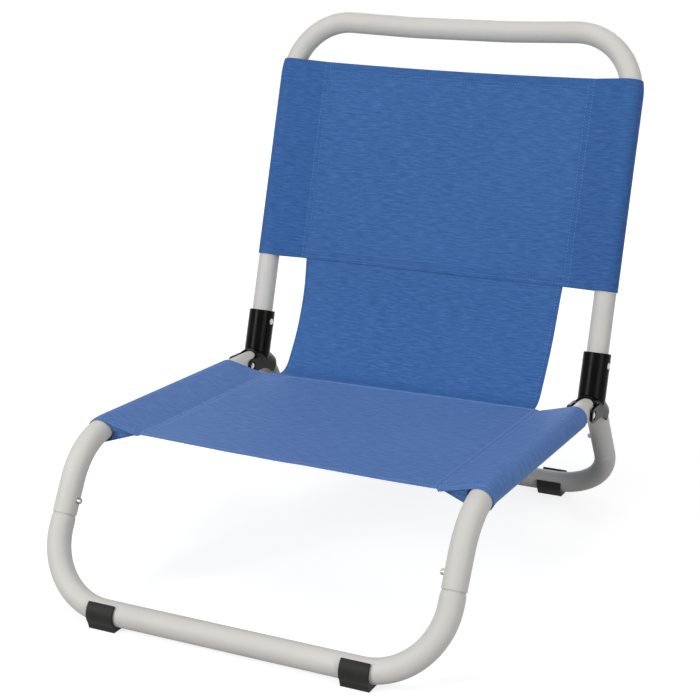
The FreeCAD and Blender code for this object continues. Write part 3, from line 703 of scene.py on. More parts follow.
def rounded(
    corners: Sequence[Vector], radii: Sequence[float], pitch: float, arc_steps: int = 24
) -> list[Vector]:
    """A line through corners, rounded at each of its inner ones.

    Args:
        corners: The corners of the line.
        radii: One radius for each corner but the first and the last.
        pitch: Distance between the points that are given back.
        arc_steps: Points on each arc.

    Returns:
        Points along the line, one pitch apart.
    """
    line = [corners[0]]
    for before, corner, after, radius in zip(corners, corners[1:], corners[2:], radii):
        back, ahead = (before - corner).normalized(), (after - corner).normalized()
        half = back.angle(ahead) / 2
        reach = radius / math.tan(half)
        centre = corner + (back + ahead).normalized() * (radius / math.sin(half))
        enter, leave = corner + back * reach - centre, corner + ahead * reach - centre
        turn = math.pi - 2 * half
        for angle in flat_steps(0.0, turn, arc_steps):
            spoke = enter * math.sin(turn - angle) + leave * math.sin(angle)
            line.append(centre + spoke / math.sin(turn))
    line.append(corners[-1])
    places = np.array([tuple(p) for p in line])
    runs = np.concatenate([[0.0], np.cumsum(np.linalg.norm(np.diff(places, axis=0), axis=1))])
    marks = np.arange(0.0, runs[-1], pitch)
    return [Vector([np.interp(m, runs, places[:, axis]) for axis in range(3)]) for m in marks]


@dataclass(frozen=True)
class Patch:
    """A grid of cloth.

    Attributes:
        rows: For each point its place in the row frame, and the cloth's own two
            lengths there, for its UV map.
    """

    rows: Sequence[Sequence[Sewn]]

    def quads(self, first: int) -> list[list[int]]:
        """The grid's faces, with its points numbered from first.

        Args:
            first: The number of its first point.

        Returns:
            Four points for each face.
        """
        rows, columns = len(self.rows), len(self.rows[0])
        corner = first + np.arange(rows * columns).reshape(rows, columns)
        sides = [corner[:-1, :-1], corner[:-1, 1:], corner[1:, 1:], corner[1:, :-1]]
        return np.stack(sides, axis=-1).reshape(-1, 4).tolist()


def cloth_object(
    name: str, patches: Sequence[Patch], material: bpy.types.Material, thickness: float
) -> bpy.types.Object:
    """A cloth piece from one or more patches.

    Args:
        name: The piece's name.
        patches: The grids that it is made of.
        material: The cloth's finish.
        thickness: The cloth's thickness.

    Returns:
        The piece, at the origin, with its wall made.
    """
    places: list[tuple[float, ...]] = []
    quads: list[list[int]] = []
    sizes: list[tuple[float, float]] = []
    for patch in patches:
        quads += patch.quads(len(places))
        places += [tuple(place) for row in patch.rows for place, _ in row]
        sizes += [lengths for row in patch.rows for _, lengths in row]
    mesh = bpy.data.meshes.new(name)
    mesh.from_pydata(places, [], quads)
    layer = mesh.uv_layers.new(name="ClothLengths")
    flat = np.array(sizes, dtype=np.float32)
    loops = np.zeros(len(mesh.loops), dtype=np.int32)
    mesh.loops.foreach_get("vertex_index", loops)
    layer.data.foreach_set("uv", flat[loops].ravel())
    mesh.materials.append(material)
    piece = placed(name, mesh)
    wall = piece.modifiers.new("Wall", "SOLIDIFY")
    wall.thickness = thickness
    wall.offset = 0.0
    wall.use_quality_normals = True
    settle(piece)
    piece.data.shade_smooth()
    return piece


def settle(piece: bpy.types.Object) -> None:
    """Turn a piece and its modifiers into a plain mesh.

    Args:
        piece: The piece.
    """
    graph = bpy.context.evaluated_depsgraph_get()
    graph.update()
    mesh = bpy.data.meshes.new_from_object(piece.evaluated_get(graph), depsgraph=graph)
    piece.modifiers.clear()
    piece.data = mesh


@dataclass(frozen=True)
class SleeveSection:
    """The line that a sling's cloth follows from one sleeve to the other.

    It starts under the sheet, at the end of the seam allowance, goes round the
    tube and comes back over the top to the seam, then crosses to the far side.

    Attributes:
        half_spacing: Distance from the middle to the tubes.
        radius: Distance from a tube's centre to the middle of the cloth.
        seam_inset: Distance from a tube's centre to its seam.
        allowance: Width of the cloth turned in beyond the seam.
        ply: Distance between the two layers where they are sewn.
    """

    half_spacing: float
    radius: float = 13.6 * MM
    seam_inset: float = 44 * MM
    allowance: float = 9 * MM
    ply: float = 0.8 * MM
    arc_steps: int = 52
    slope_steps: int = 16
    middle_steps: int = 112

    @property
    def seam(self) -> float:
        """Distance from the middle to the seams."""
        return self.half_spacing - self.seam_inset

    def side(self, shift: float) -> list[SectionPoint]:
        """One side of the section.

        Args:
            shift: How far the tube lies inward of its straight part.

        Returns:
            For each point its x and lift, and its inward direction's x and lift.
        """
        centre = self.half_spacing - shift
        open_angle = math.pi - math.acos(self.radius / (centre - self.seam))
        line = [(self.seam - self.allowance * s, -self.ply, 0.0, -1.0) for s in (1.0, 0.66, 0.33)]
        ring: list[SectionPoint] = []
        for angle in flat_steps(-open_angle, open_angle, self.arc_steps):
            cos, sin = math.cos(angle), math.sin(angle)
            ring.append((centre + self.radius * cos, self.radius * sin, -cos, -sin))
        line += self.slope((self.seam, -self.ply), ring[0])
        line += ring
        line += self.slope((self.seam, 0.0), ring[-1])[::-1]
        return line

    def slope(self, sewn: tuple[float, float], touch: SectionPoint) -> list[SectionPoint]:
        """The flat stretch from the seam to where the cloth meets the tube.

        Args:
            sewn: The x and lift of the seam.
            touch: The first point on the tube.

        Returns:
            The points, from the seam outward.
        """
        x, lift = sewn
        steps = flat_steps(0.0, 1.0, self.slope_steps)[:-1]
        return [(x + (touch[0] - x) * s, lift + (touch[1] - lift) * s, *touch[2:]) for s in steps]

    def whole(self, shift: float) -> list[SectionPoint]:
        """Both sides and the sheet between them, as side() gives its points.

        Args:
            shift: How far the tubes lie inward of their straight parts.

        Returns:
            The points, from the left allowance to the right one.
        """
        side = self.side(shift)
        steps = flat_steps(self.seam, -self.seam, self.middle_steps + 2)[1:-1]
        middle = [(x, 0.0, 0.0, -1.0) for x in steps]
        mirrored = [(-x, lift, -dx, dz) for x, lift, dx, dz in reversed(side)]
        return side + middle + mirrored


class Stitching(NodeTree):
    """The Geometry Nodes tree that lays stitches along guide lines."""

    def __init__(self) -> None:
        """Build the tree once."""
        super().__init__(bpy.data.node_groups.new("Stitches", "GeometryNodeTree"))
        self.tree.is_modifier = True
        face = self.tree.interface
        face.new_socket("Guides", in_out="INPUT", socket_type="NodeSocketGeometry")
        for name in ("Pitch", "Stitch Length", "Thread Width", "Wobble"):
            face.new_socket(name, in_out="INPUT", socket_type="NodeSocketFloat")
        face.new_socket("Seed", in_out="INPUT", socket_type="NodeSocketInt")
        face.new_socket("Thread", in_out="INPUT", socket_type="NodeSocketMaterial")
        face.new_socket("Stitches", in_out="OUTPUT", socket_type="NodeSocketGeometry")
        self.build()

    def build(self) -> None:
        """Lay one small ellipsoid at each step of each guide."""
        start, end = self.add("NodeGroupInput"), self.add("NodeGroupOutput")
        curve = self.add("GeometryNodeMeshToCurve")
        evened = self.add("GeometryNodeResampleCurve", mode="LENGTH")
        ball = self.add("GeometryNodeMeshUVSphere")
        for name, value in (("Segments", 6), ("Rings", 5), ("Radius", 0.5)):
            ball.inputs[name].default_value = value
        shape = self.add("ShaderNodeCombineXYZ")
        grain = self.add("GeometryNodeTransform")
        jitter = self.add("FunctionNodeRandomValue", data_type="FLOAT_VECTOR")
        lowest = self.add("ShaderNodeMath", operation="MULTIPLY")
        lowest.inputs[1].default_value = -1.0
        tangent = self.add("GeometryNodeInputTangent")
        heading = self.add("ShaderNodeVectorMath", operation="ADD")
        turn = self.add("FunctionNodeAlignRotationToVector", axis="Z")
        place = self.add("GeometryNodeInstanceOnPoints")
        smooth = self.add("GeometryNodeSetShadeSmooth")
        real = self.add("GeometryNodeRealizeInstances")
        paint = self.add("GeometryNodeSetMaterial")
        least, most = (s for s in jitter.inputs if s.type == "VECTOR")
        turned = next(s for s in jitter.outputs if s.type == "VECTOR")
        given, points = start.outputs, place.inputs
        for source, target in (
            (given["Guides"], curve.inputs["Mesh"]),
            (curve.outputs["Curve"], evened.inputs["Curve"]),
            (given["Pitch"], evened.inputs["Length"]),
            (given["Thread Width"], shape.inputs["X"]),
            (given["Thread Width"], shape.inputs["Y"]),
            (given["Stitch Length"], shape.inputs["Z"]),
            (ball.outputs["Mesh"], grain.inputs["Geometry"]),
            (shape.outputs["Vector"], grain.inputs["Scale"]),
            (given["Wobble"], lowest.inputs[0]),
            (lowest.outputs["Value"], least),
            (given["Wobble"], most),
            (given["Seed"], jitter.inputs["Seed"]),
            (tangent.outputs["Tangent"], heading.inputs[0]),
            (turned, heading.inputs[1]),
            (heading.outputs["Vector"], turn.inputs["Vector"]),
            (evened.outputs["Curve"], points["Points"]),
            (grain.outputs["Geometry"], points["Instance"]),
            (turn.outputs["Rotation"], points["Rotation"]),
            (place.outputs["Instances"], smooth.inputs["Geometry"]),
            (smooth.outputs["Geometry"], real.inputs["Geometry"]),
            (real.outputs["Geometry"], paint.inputs["Geometry"]),
            (given["Thread"], paint.inputs["Material"]),
            (paint.outputs["Geometry"], end.inputs["Stitches"]),
        ):
            self.link(source, target)

    def lay(
        self,
        name: str,
        guides: Sequence[Sequence[Vector]],
        thread: bpy.types.Material,
        pitch: float = 3.5 * MM,
        stitch: float = 1.9 * MM,
        width: float = 0.75 * MM,
        wobble: float = 0.05,
        seed: int = 5,
    ) -> bpy.types.Object:
        """Sew stitches along guide lines.

        Args:
            name: The piece's name.
            guides: Lines on the cloth's face.
            thread: The thread's finish.
            pitch: Distance from stitch to stitch.
            stitch: Length of one stitch.
            width: Width of the thread.
            wobble: How far each stitch may turn off its line.
            seed: Picks one set of small turns.

        Returns:
            The stitches as one piece.
        """
        points: list[Vector] = []
        edges: list[tuple[int, int]] = []
        for guide in guides:
            first = len(points)
            points.extend(guide)
            edges.extend((i, i + 1) for i in range(first, len(points) - 1))
        mesh = bpy.data.meshes.new(name)
        mesh.from_pydata([tuple(p) for p in points], edges, [])
        piece = placed(name, mesh)
        modifier = piece.modifiers.new("Stitches", "NODES")
        modifier.node_group = self.tree
        values = {
            "Pitch": pitch,
            "Stitch Length": stitch,
            "Thread Width": width,
            "Wobble": wobble,
            "Seed": seed,
            "Thread": thread,
        }
        for item in self.tree.interface.items_tree:
            if item.in_out == "INPUT" and item.name in values:
                modifier[item.identifier] = values[item.name]
        settle(piece)
        LOG.info("%s: %d faces of thread", name, len(piece.data.polygons))
        return piece


@dataclass(frozen=True)
class HemLine:
    """How far a hem lies off a straight line across, along the tubes.

    Attributes:
        middle: The offset at the middle.
        tilt: How much it grows from the middle to the left seam.
        curve: How much it grows from the middle to both seams.
        mouth: How much it grows from a seam to its tube.
        tab: How far the seam's end stands out.
        tuck: How far the under layer is drawn back at the seam.
        reach: The power at which the offset fades away from the hem.
        sharpness: The same for the tab and the tuck, which stay close to it.
        stitch_room: How far inside the seam the tab starts.
    """

    middle: float = 0.0
    tilt: float = 0.0
    curve: float = 0.0
    mouth: float = 0.0
    tab: float = 0.0
    tuck: float = 0.0
    reach: float = 3.0
    sharpness: float = 24.0
    stitch_room: float = 0.5 * MM

    def offset(self, section: SleeveSection, x: float, lift: float, share: float) -> float:
        """The offset of a point of the cloth.

        Args:
            section: The cloth's section.
            x: Place across the cloth.
            lift: Height of the point, from which its layer is told.
            share: How near to the hem it is, from 0 to 1.

        Returns:
            How far it moves along the tubes.
        """
        across = min(max(x / section.seam, -1.0), 1.0)
        line = self.middle + self.tilt * across + self.curve * across**2
        beyond = (abs(x) - section.seam) / section.seam_inset
        sleeve = min(max(beyond, 0.0), 1.0)
        line += self.mouth * sleeve
        close = 0.0
        if abs(x) > section.seam - self.stitch_room:
            close += self.tab * (1 - sleeve)
        under = lift < -0.4 * section.ply
        if under:
            close -= (self.tab + self.tuck) * (1 - sleeve)
        return line * share**self.reach + close * share**self.sharpness


@dataclass(kw_only=True)
class Cloth:
    """A piece of sewn cloth.

    Attributes:
        layout: The chair's centre lines.
        name: The piece's name.
        node: The CAD node that the piece stands for.
        slot: The record's material slot; not used.
        turned: Width of its hems.
        thickness: Thickness of the cloth.
        loft: Room between its face and a hem turned under it.
        seed: Picks one set of swells and stitches.
    """

    layout: ChairLayout
    name: str
    node: str
    slot: str
    turned: float = 12 * MM
    thickness: float = 0.5 * MM
    loft: float = 0.05 * MM
    seed: int = 1

    def patches(self) -> list[Patch]:
        """The grids that the cloth is made of, with its main one first."""
        raise NotImplementedError

    def guides(self) -> list[list[Vector]]:
        """The lines of stitches on this cloth."""
        raise NotImplementedError

    def hang(self, piece: bpy.types.Object) -> None:
        """Set a piece of the cloth, or of its stitches, in the chair."""
        raise NotImplementedError

    def declare(self, piece: bpy.types.Object, main: Patch) -> None:
        """A step taken after the piece is hung; every piece here leaves it empty."""
        raise NotImplementedError

    def folds(self, count: int, length: float) -> list[tuple[float, float]]:
        """Stations on a face of that length, and on the hems under it."""
        return folded(count, length, self.turned, self.thickness + self.loft)

    def build(self, material: bpy.types.Material) -> bpy.types.Object:
        """Make the cloth and set it in the chair.

        Args:
            material: The cloth's finish.

        Returns:
            The piece.
        """
        patches = self.patches()
        piece = cloth_object(self.name, patches, material, self.thickness)
        self.hang(piece)
        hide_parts(self.node)
        self.declare(piece, patches[0])
        return piece

    def sew(self, stitching: Stitching, thread: bpy.types.Material) -> bpy.types.Object:
        """Sew the cloth's seams and hems.

        Args:
            stitching: The tree that lays stitches.
            thread: The thread's finish.

        Returns:
            The stitches.
        """
        piece = stitching.lay(f"{self.name}_stitches", self.guides(), thread, seed=self.seed)
        self.hang(piece)
        return piece


@dataclass(kw_only=True)
class Sling(Cloth):
    """A cloth that runs between two sleeves.

    Attributes:
        body: The body that it rides on.
        rests_on: What holds its sleeves; not used.
        start: Where the cloth starts along its tubes.
        end: Where it ends.
        near: The hem at its start.
        far: The hem at its end.
        sag: How far its middle lies off the tubes' plane.
        hem_sag: The share of the sag that its far hem has.
        lip: How far its near hem curls up.
        lip_reach: How far from the hem the curl is felt.
        rows: Stations along the cloth.
        swell: Height and size of the slow swells.
        pucker: Height, size and reach of the puckers along the seams.
        seam_dip: Depth and width of the dent that the seams' stitches make.
        seam_rows: Distances from each seam to its rows of stitches.
        row_end: How far those rows stop short of the hems.
        row_side: How far the rows along the hems stop short of the seams.
    """

    body: str
    rests_on: tuple[str, ...]
    start: float
    end: float
    near: HemLine = HemLine()
    far: HemLine = HemLine()
    sag: float = 2.0 * MM
    hem_sag: float = 0.5
    lip: float = 0.0
    lip_reach: float = 3 * MM
    rows: int = 96
    swell: tuple[float, float] = (0.45 * MM, 46 * MM)
    pucker: tuple[float, float, float] = (0.3 * MM, 9 * MM, 7 * MM)
    seam_dip: tuple[float, float] = (0.3 * MM, 2 * MM)
    seam_rows: tuple[float, float] = (0.9 * MM, 7.3 * MM)
    row_end: float = 1.5 * MM
    row_side: float = 2 * MM

    @property
    def section(self) -> SleeveSection:
        """The line across the cloth."""
        return SleeveSection(self.layout.half_spacing)

    @property
    def length(self) -> float:
        """The cloth's length along its tubes."""
        return self.end - self.start

    def place(self, x: float, along: float, lift: float) -> Vector:
        """A point beside the sling's tubes."""
        raise NotImplementedError

    def shift(self, along: float) -> float:
        """How far the tubes have bent inward there."""
        return 0.0

    def drift(self, x: float, run: float) -> float:
        """How far the cloth lies off its plane.

        Args:
            x: Place across the cloth.
            run: Place along the cloth, from its start.

        Returns:
            The lift, below zero where it sags.
        """
        seam = self.section.seam
        across = max(1 - (x / seam) ** 2, 0.0)
        share = min(max(run / self.length, 0.0), 1.0)
        hollow = 2.2 * share * (1 - share)
        lift = -self.sag * across * (self.hem_sag * share + hollow)
        swell, swell_size = self.swell
        lift += swell * ripple(x, run, swell_size, self.seed) * across
        pucker, pucker_size, reach = self.pucker
        beside = math.exp(-(((abs(x) - seam) / reach) ** 2))
        lift += pucker * ripple(x, run, pucker_size, self.seed + 1) * beside
        dip, dip_width = self.seam_dip
        lift -= dip * math.exp(-(((abs(x) - seam) / dip_width) ** 2))
        inside = min(max((seam - abs(x)) / (2 * self.lip_reach), 0.0), 1.0)
        return lift + self.lip * inside * math.exp(-((max(run, 0.0) / self.lip_reach) ** 2))

    def point(self, x: float, run: float, lift: float) -> Vector:
        """A point of the cloth.

        Args:
            x: Place across the cloth.
            run: Place along the cloth, from its start.
            lift: Height above its middle face.

        Returns:
            The point in the row frame.
        """
        share = min(max(run / self.length, 0.0), 1.0)
        along = self.start + run
        along += self.near.offset(self.section, x, lift, 1 - share)
        along += self.far.offset(self.section, x, lift, share)
        return self.place(x, along, lift + self.drift(x, run))

    def patches(self) -> list[Patch]:
        """The cloth from one sleeve to the other, with its hems turned under.

        Returns:
            The one grid.
        """
        rows: list[list[Sewn]] = []
        for run, depth in self.folds(self.rows, self.length):
            section = self.section.whole(self.shift(self.start + run))
            row: list[Sewn] = []
            across = 0.0
            last = section[0]
            for x, lift, inward_x, inward in section:
                across += math.hypot(x - last[0], lift - last[1])
                last = (x, lift)
                place = self.point(x + inward_x * depth, run, lift + inward * depth)
                row.append((place, (across, run)))
            rows.append(row)
        return [Patch(rows)]

    def hang(self, piece: bpy.types.Object) -> None:
        """Let a piece ride on the sling's body."""
        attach(piece, self.body)

    def declare(self, piece: bpy.types.Object, main: Patch) -> None:
        """Does nothing.

        Args:
            piece: The cloth; not used.
            main: Its main grid; not used.
        """

    def along_line(self, x: float, first: float, last: float) -> list[Vector]:
        """A guide on the face of the cloth, parallel to the tubes."""
        face = self.thickness / 2
        return [self.point(x, run, face) for run in flat_steps(first, last, 80)]

    def across_line(self, run: float, half: float) -> list[Vector]:
        """A guide on the face of the cloth, parallel to a hem."""
        face = self.thickness / 2
        return [self.point(x, run, face) for x in flat_steps(-half, half, 90)]

    def seam_guides(self) -> list[list[Vector]]:
        """Rows beside each seam.

        Returns:
            One line for each row.
        """
        return [
            self.along_line(
                side.value * (self.section.seam - inset), self.row_end, self.length - self.row_end
            )
            for side in Side
            for inset in self.seam_rows
        ]


@dataclass(kw_only=True)
class SeatSling(Sling):
    """The seat, sewn round the two rails.

    Attributes:
        hem_row: Distance to the row of stitches from the rear edge, and from the
            inner edge of the front hem.
        mouth_bulge: How far the cloth that closes a front mouth lies back.
        mouth_inset: How far its edges lie behind the hem.
        mouth_rim: Its distances from the sleeve's round and from the seam.
        mouth_least: The least half angle that its arcs have, where they meet the seam.
    """

    hem_row: float = 2.5 * MM
    mouth_bulge: float = 1.6 * MM
    mouth_inset: float = 0.6 * MM
    mouth_rim: tuple[float, float] = (0.4 * MM, 3 * MM)
    mouth_least: float = 0.004

    def place(self, x: float, along: float, lift: float) -> Vector:
        """A point beside the rails."""
        return self.layout.on_rail(x, along, lift)

    def patches(self) -> list[Patch]:
        """The sling, and the turned-in cloth that fills each front mouth."""
        return super().patches() + [self.mouth(side) for side in Side]

    def mouth(self, side: Side, rings: int = 12, steps: int = 22) -> Patch:
        """Close one front mouth, from seam to rail, with arcs about the rail.

        Args:
            side: Which rail.
            rings: Arcs from the rail to the seam.
            steps: Points on each arc.

        Returns:
            The patch.
        """
        section = self.section
        inset = section.seam_inset
        lean = math.acos(section.radius / inset)
        inner = section.radius - 1.5 * self.thickness
        near_round, near_seam = self.mouth_rim
        rows: list[list[Sewn]] = []
        for distance in flat_steps(section.radius + near_round, inset - near_seam, rings):
            half = max(lean - math.acos(inner / distance), self.mouth_least)
            row: list[Sewn] = []
            for turn in flat_steps(-half, half, steps):
                x = side.value * (section.half_spacing - distance * math.cos(turn))
                back = self.mouth_inset + self.mouth_bulge * (1 - (turn / half) ** 2)
                place = self.point(x, self.length - back, distance * math.sin(turn))
                row.append((place, (distance * turn, distance)))
            rows.append(row)
        return Patch(rows)

    def guides(self) -> list[list[Vector]]:
        """Two rows beside each seam, and one along each hem and round each mouth.

        Returns:
            One line for each row.
        """
        half = self.section.seam - self.row_side
        front = self.length - self.turned + self.hem_row
        rows = self.seam_guides()
        rows += [self.across_line(run, half) for run in (self.hem_row, front)]
        return rows + [self.round_line(side, front) for side in Side]

    def round_line(self, side: Side, run: float) -> list[Vector]:
        """A guide from a seam over the rail and down its outer side.

        Args:
            side: Which rail.
            run: Place along the cloth.

        Returns:
            The line.
        """
        section = self.section
        over = section.side(0.0)[-(section.slope_steps + section.arc_steps * 2 // 3) :]
        face = self.thickness / 2
        return [
            self.point(side.value * (x - face * inward_x), run, lift - face * inward)
            for x, lift, inward_x, inward in over
        ]


@dataclass(kw_only=True)
class BackPanel(Sling):
    """The upper back, sewn round the hoop's two uprights.

    Attributes:
        bottom_rows: Distances from its lower edge to the rows of stitches there.
        top_row: Distance from the upper hem's inner edge to its row.
        top_side: How far that row stops short of the seams.
    """

    bottom_rows: tuple[float, float] = (3.5 * MM, 11 * MM)
    top_row: float = 2 * MM
    top_side: float = 8 * MM

    def place(self, x: float, along: float, lift: float) -> Vector:
        """A point beside the uprights."""
        return self.layout.on_back(x, along, lift)

    def shift(self, along: float) -> float:
        """How far the hoop has bent inward there."""
        return self.layout.hoop_shift(along)

    def guides(self) -> list[list[Vector]]:
        """Two rows beside each seam, two along the bottom and one along the top.

        Returns:
            One line for each row.
        """
        seam = self.section.seam
        rows = [self.across_line(run, seam - self.row_side) for run in self.bottom_rows]
        top = self.length - self.turned + self.top_row
        return self.seam_guides() + rows + [self.across_line(top, seam - self.top_side)]


@dataclass(kw_only=True)
class LowerPanel(Cloth):
    """The loose cloth that hangs from the back panel and sweeps forward to the seat.

    Attributes:
        crease: Where the seat ends, along the rails.
        half: Half its width over most of its height.
        flare: How much further each side reaches at the panel.
        bend: Place and radius of the bend behind the seat, from the hinge pivot.
        bow: How far its long run bows off a straight line, and its radius.
        ends: Radii at which it leaves the seat and meets the panel.
        panel_bottom: Where the panel starts, along the uprights.
        tail: How far it goes on behind the panel.
        tuck: How far it goes on under the seat.
        ply: Distance between its face and the faces that it is sewn behind.
        swell: Height and size of the slow swells, and the half width they are laid on.
        columns: Stations across the cloth.
        pitch: Distance between stations up the cloth.
        hem_row: How far each side's row of stitches lies outside the hem's inner edge.
    """

    name: str = "lower_panel"
    node: str = "lower_back"
    slot: str = "back_cloth"
    turned: float = 6 * MM
    seed: int = 11
    crease: float = 17 * MM
    half: float = 161.3 * MM
    flare: float = 3.4 * MM
    bend: tuple[float, float, float] = (11 * MM, -3.6 * MM, 28 * MM)
    bow: tuple[float, float] = (12.6 * MM, 250 * MM)
    ends: tuple[float, float] = (12 * MM, 60 * MM)
    panel_bottom: float = 140.4 * MM
    tail: float = 13 * MM
    tuck: float = 12 * MM
    ply: float = 0.85 * MM
    swell: tuple[float, float, float] = (0.8 * MM, 52 * MM, 160 * MM)
    columns: int = 110
    pitch: float = 2.2 * MM
    hem_row: float = 1.5 * MM

    def profile(self) -> tuple[list[Vector], float, float]:
        """The line down the middle of the cloth.

        Returns:
            Evenly spaced points from under the seat to behind the panel, and the
            lengths at which it leaves the seat and meets the panel.
        """
        high = self.layout.on_back(0.0, self.panel_bottom, -self.ply)
        highest = self.layout.on_back(0.0, self.panel_bottom + self.tail, -self.ply)
        low = self.layout.on_rail(0.0, self.crease, -self.ply)
        lowest = self.layout.on_rail(0.0, self.crease + self.tuck, -self.ply)
        behind, under, bend = self.bend
        corner = self.layout.on_rail(0.0, -behind, under)
        drop = high - corner
        out = Vector((0, drop.z, -drop.y)).normalized()
        middle = corner + drop / 2 + out * self.bow[0]
        corners = [lowest, low, corner, middle, high, highest]
        line = rounded(corners, [self.ends[0], bend, self.bow[1], self.ends[1]], self.pitch)
        return line, self.tuck, (len(line) - 1) * self.pitch - self.tail

    def half_width(self, share: float) -> float:
        """Half the cloth's width at a share of the way up its open part."""
        return self.half + self.flare * share**4

    def stations(self) -> list[tuple[Vector, Vector, float, float]]:
        """Points up the middle.

        Returns:
            For each its place, its face's direction, its share of the open part
            and its length from the lower edge.
        """
        line, leaves, meets = self.profile()
        out: list[tuple[Vector, Vector, float, float]] = []
        for index, place in enumerate(line):
            before = line[max(index - 1, 0)]
            after = line[min(index + 1, len(line) - 1)]
            run = (after - before).normalized()
            length = index * self.pitch
            share = min(max((length - leaves) / (meets - leaves), 0.0), 1.0)
            out.append((place, Vector((0, -run.z, run.y)), share, length))
        return out

    def drift(self, across: float, share: float, length: float) -> float:
        """How far the cloth lies off its plane.

        Args:
            across: Place across, from -1 to 1.
            share: Place up its open part, from 0 to 1.
            length: Length from its lower edge.

        Returns:
            The lift off its plane.
        """
        height, size, width = self.swell
        fade = min(12 * share * (1 - share), 1.0)
        return height * fade * ripple(across * width, length, size, self.seed)

    def patches(self) -> list[Patch]:
        """The cloth from the seat to the panel, with its side hems turned under.

        Returns:
            The one grid.
        """
        rows: list[list[Sewn]] = []
        for place, face, share, length in self.stations():
            half = self.half_width(share)
            row: list[Sewn] = []
            for across, depth in self.folds(self.columns, 2 * half):
                x = across - half
                lift = self.drift(x / half, share, length) - depth
                row.append((place + face * lift + Vector((x, 0, 0)), (x, length)))
            rows.append(row)
        return [Patch(rows)]

    def hang(self, piece: bpy.types.Object) -> None:
        """Apply a piece's placement to its mesh.

        Args:
            piece: The cloth or its stitches.
        """
        low = self.layout.on_rail(0.0, self.crease, 0.0)
        high = self.layout.on_back(0.0, self.panel_bottom, 0.0)
        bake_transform(piece)

    def declare(self, piece: bpy.types.Object, main: Patch) -> None:
        """Work out the stations up the middle, and do nothing with them.

        Args:
            piece: The cloth; not used.
            main: Its main grid; not used.
        """
        stations = self.stations()

    def guides(self) -> list[list[Vector]]:
        """A row along each side hem.

        Returns:
            One line for each side.
        """
        guides: list[list[Vector]] = []
        for side in Side:
            guide: list[Vector] = []
            for place, face, share, length in self.stations():
                if 0.0 < share < 1.0:
                    half = self.half_width(share)
                    x = side.value * (half - self.turned + self.hem_row)
                    lift = self.drift(x / half, share, length) + self.thickness / 2
                    guide.append(place + face * lift + Vector((x, 0, 0)))
            guides.append(guide)
        return guides


# ------------------------------------------------------------- rigid parts


@dataclass(frozen=True)
class FramePart:
    """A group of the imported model's rigid pieces and the finish that they share."""

    nodes: tuple[str, ...]
    finish: bpy.types.Material

    def dress(self) -> None:
        """Give each piece the finish."""
        for name in self.nodes:
            mesh = frame["nodes"][name].data
            mesh.materials.clear()
            mesh.materials.append(self.finish)
            LOG.info("%s: %s", name, self.finish.name)


@dataclass(frozen=True)
class Stand:
    """The bars, rails and feet that carry the chair."""

    finishes: Finishes
    ends: tuple[str, ...] = ("front", "rear")

    def dress(self) -> None:
        """Finish every rigid piece of the stand and its snap joints."""
        corners = [f"{end}_{side.word}" for end in self.ends for side in Side]
        bars = tuple(f"{end}_leg_bar" for end in self.ends)
        rails = tuple(f"rail_{side.word}" for side in Side)
        FramePart(bars + rails, self.finishes.tube).dress()
        FramePart(tuple(f"foot_{c}" for c in corners), self.finishes.rubber).dress()
        FramePart(tuple(f"button_{c}" for c in corners), self.finishes.button).dress()
        FramePart(tuple(f"spring_{c}" for c in corners), self.finishes.spring).dress()


@dataclass(frozen=True)
class BackHoop:
    """The hoop and the two sockets that it folds on."""

    finishes: Finishes

    def dress(self) -> None:
        """Finish the hoop, the sockets and their rivets."""
        sides = [side.word for side in Side]
        FramePart(("back_frame",), self.finishes.tube).dress()
        FramePart(tuple(f"hinge_socket_{s}" for s in sides), self.finishes.plastic).dress()
        rivets = tuple(f"{kind}_rivet_{s}" for kind in ("pivot", "socket") for s in sides)
        FramePart(rivets, self.finishes.plate).dress()


# ------------------------------------------------------------------ studio


@dataclass(frozen=True)
class SoftBox:
    """A square lamp that faces a point."""

    name: str
    place: Place
    aim: Place
    size: float
    power: float

    def build(self) -> None:
        """Hang the lamp."""
        lamp = bpy.data.lights.new(self.name, "AREA")
        lamp.shape = "SQUARE"
        lamp.size = self.size
        lamp.energy = self.power
        holder = placed(self.name, lamp)
        holder.location = self.place
        heading = Vector(self.aim) - Vector(self.place)
        holder.rotation_euler = heading.to_track_quat("-Z", "Y").to_euler()


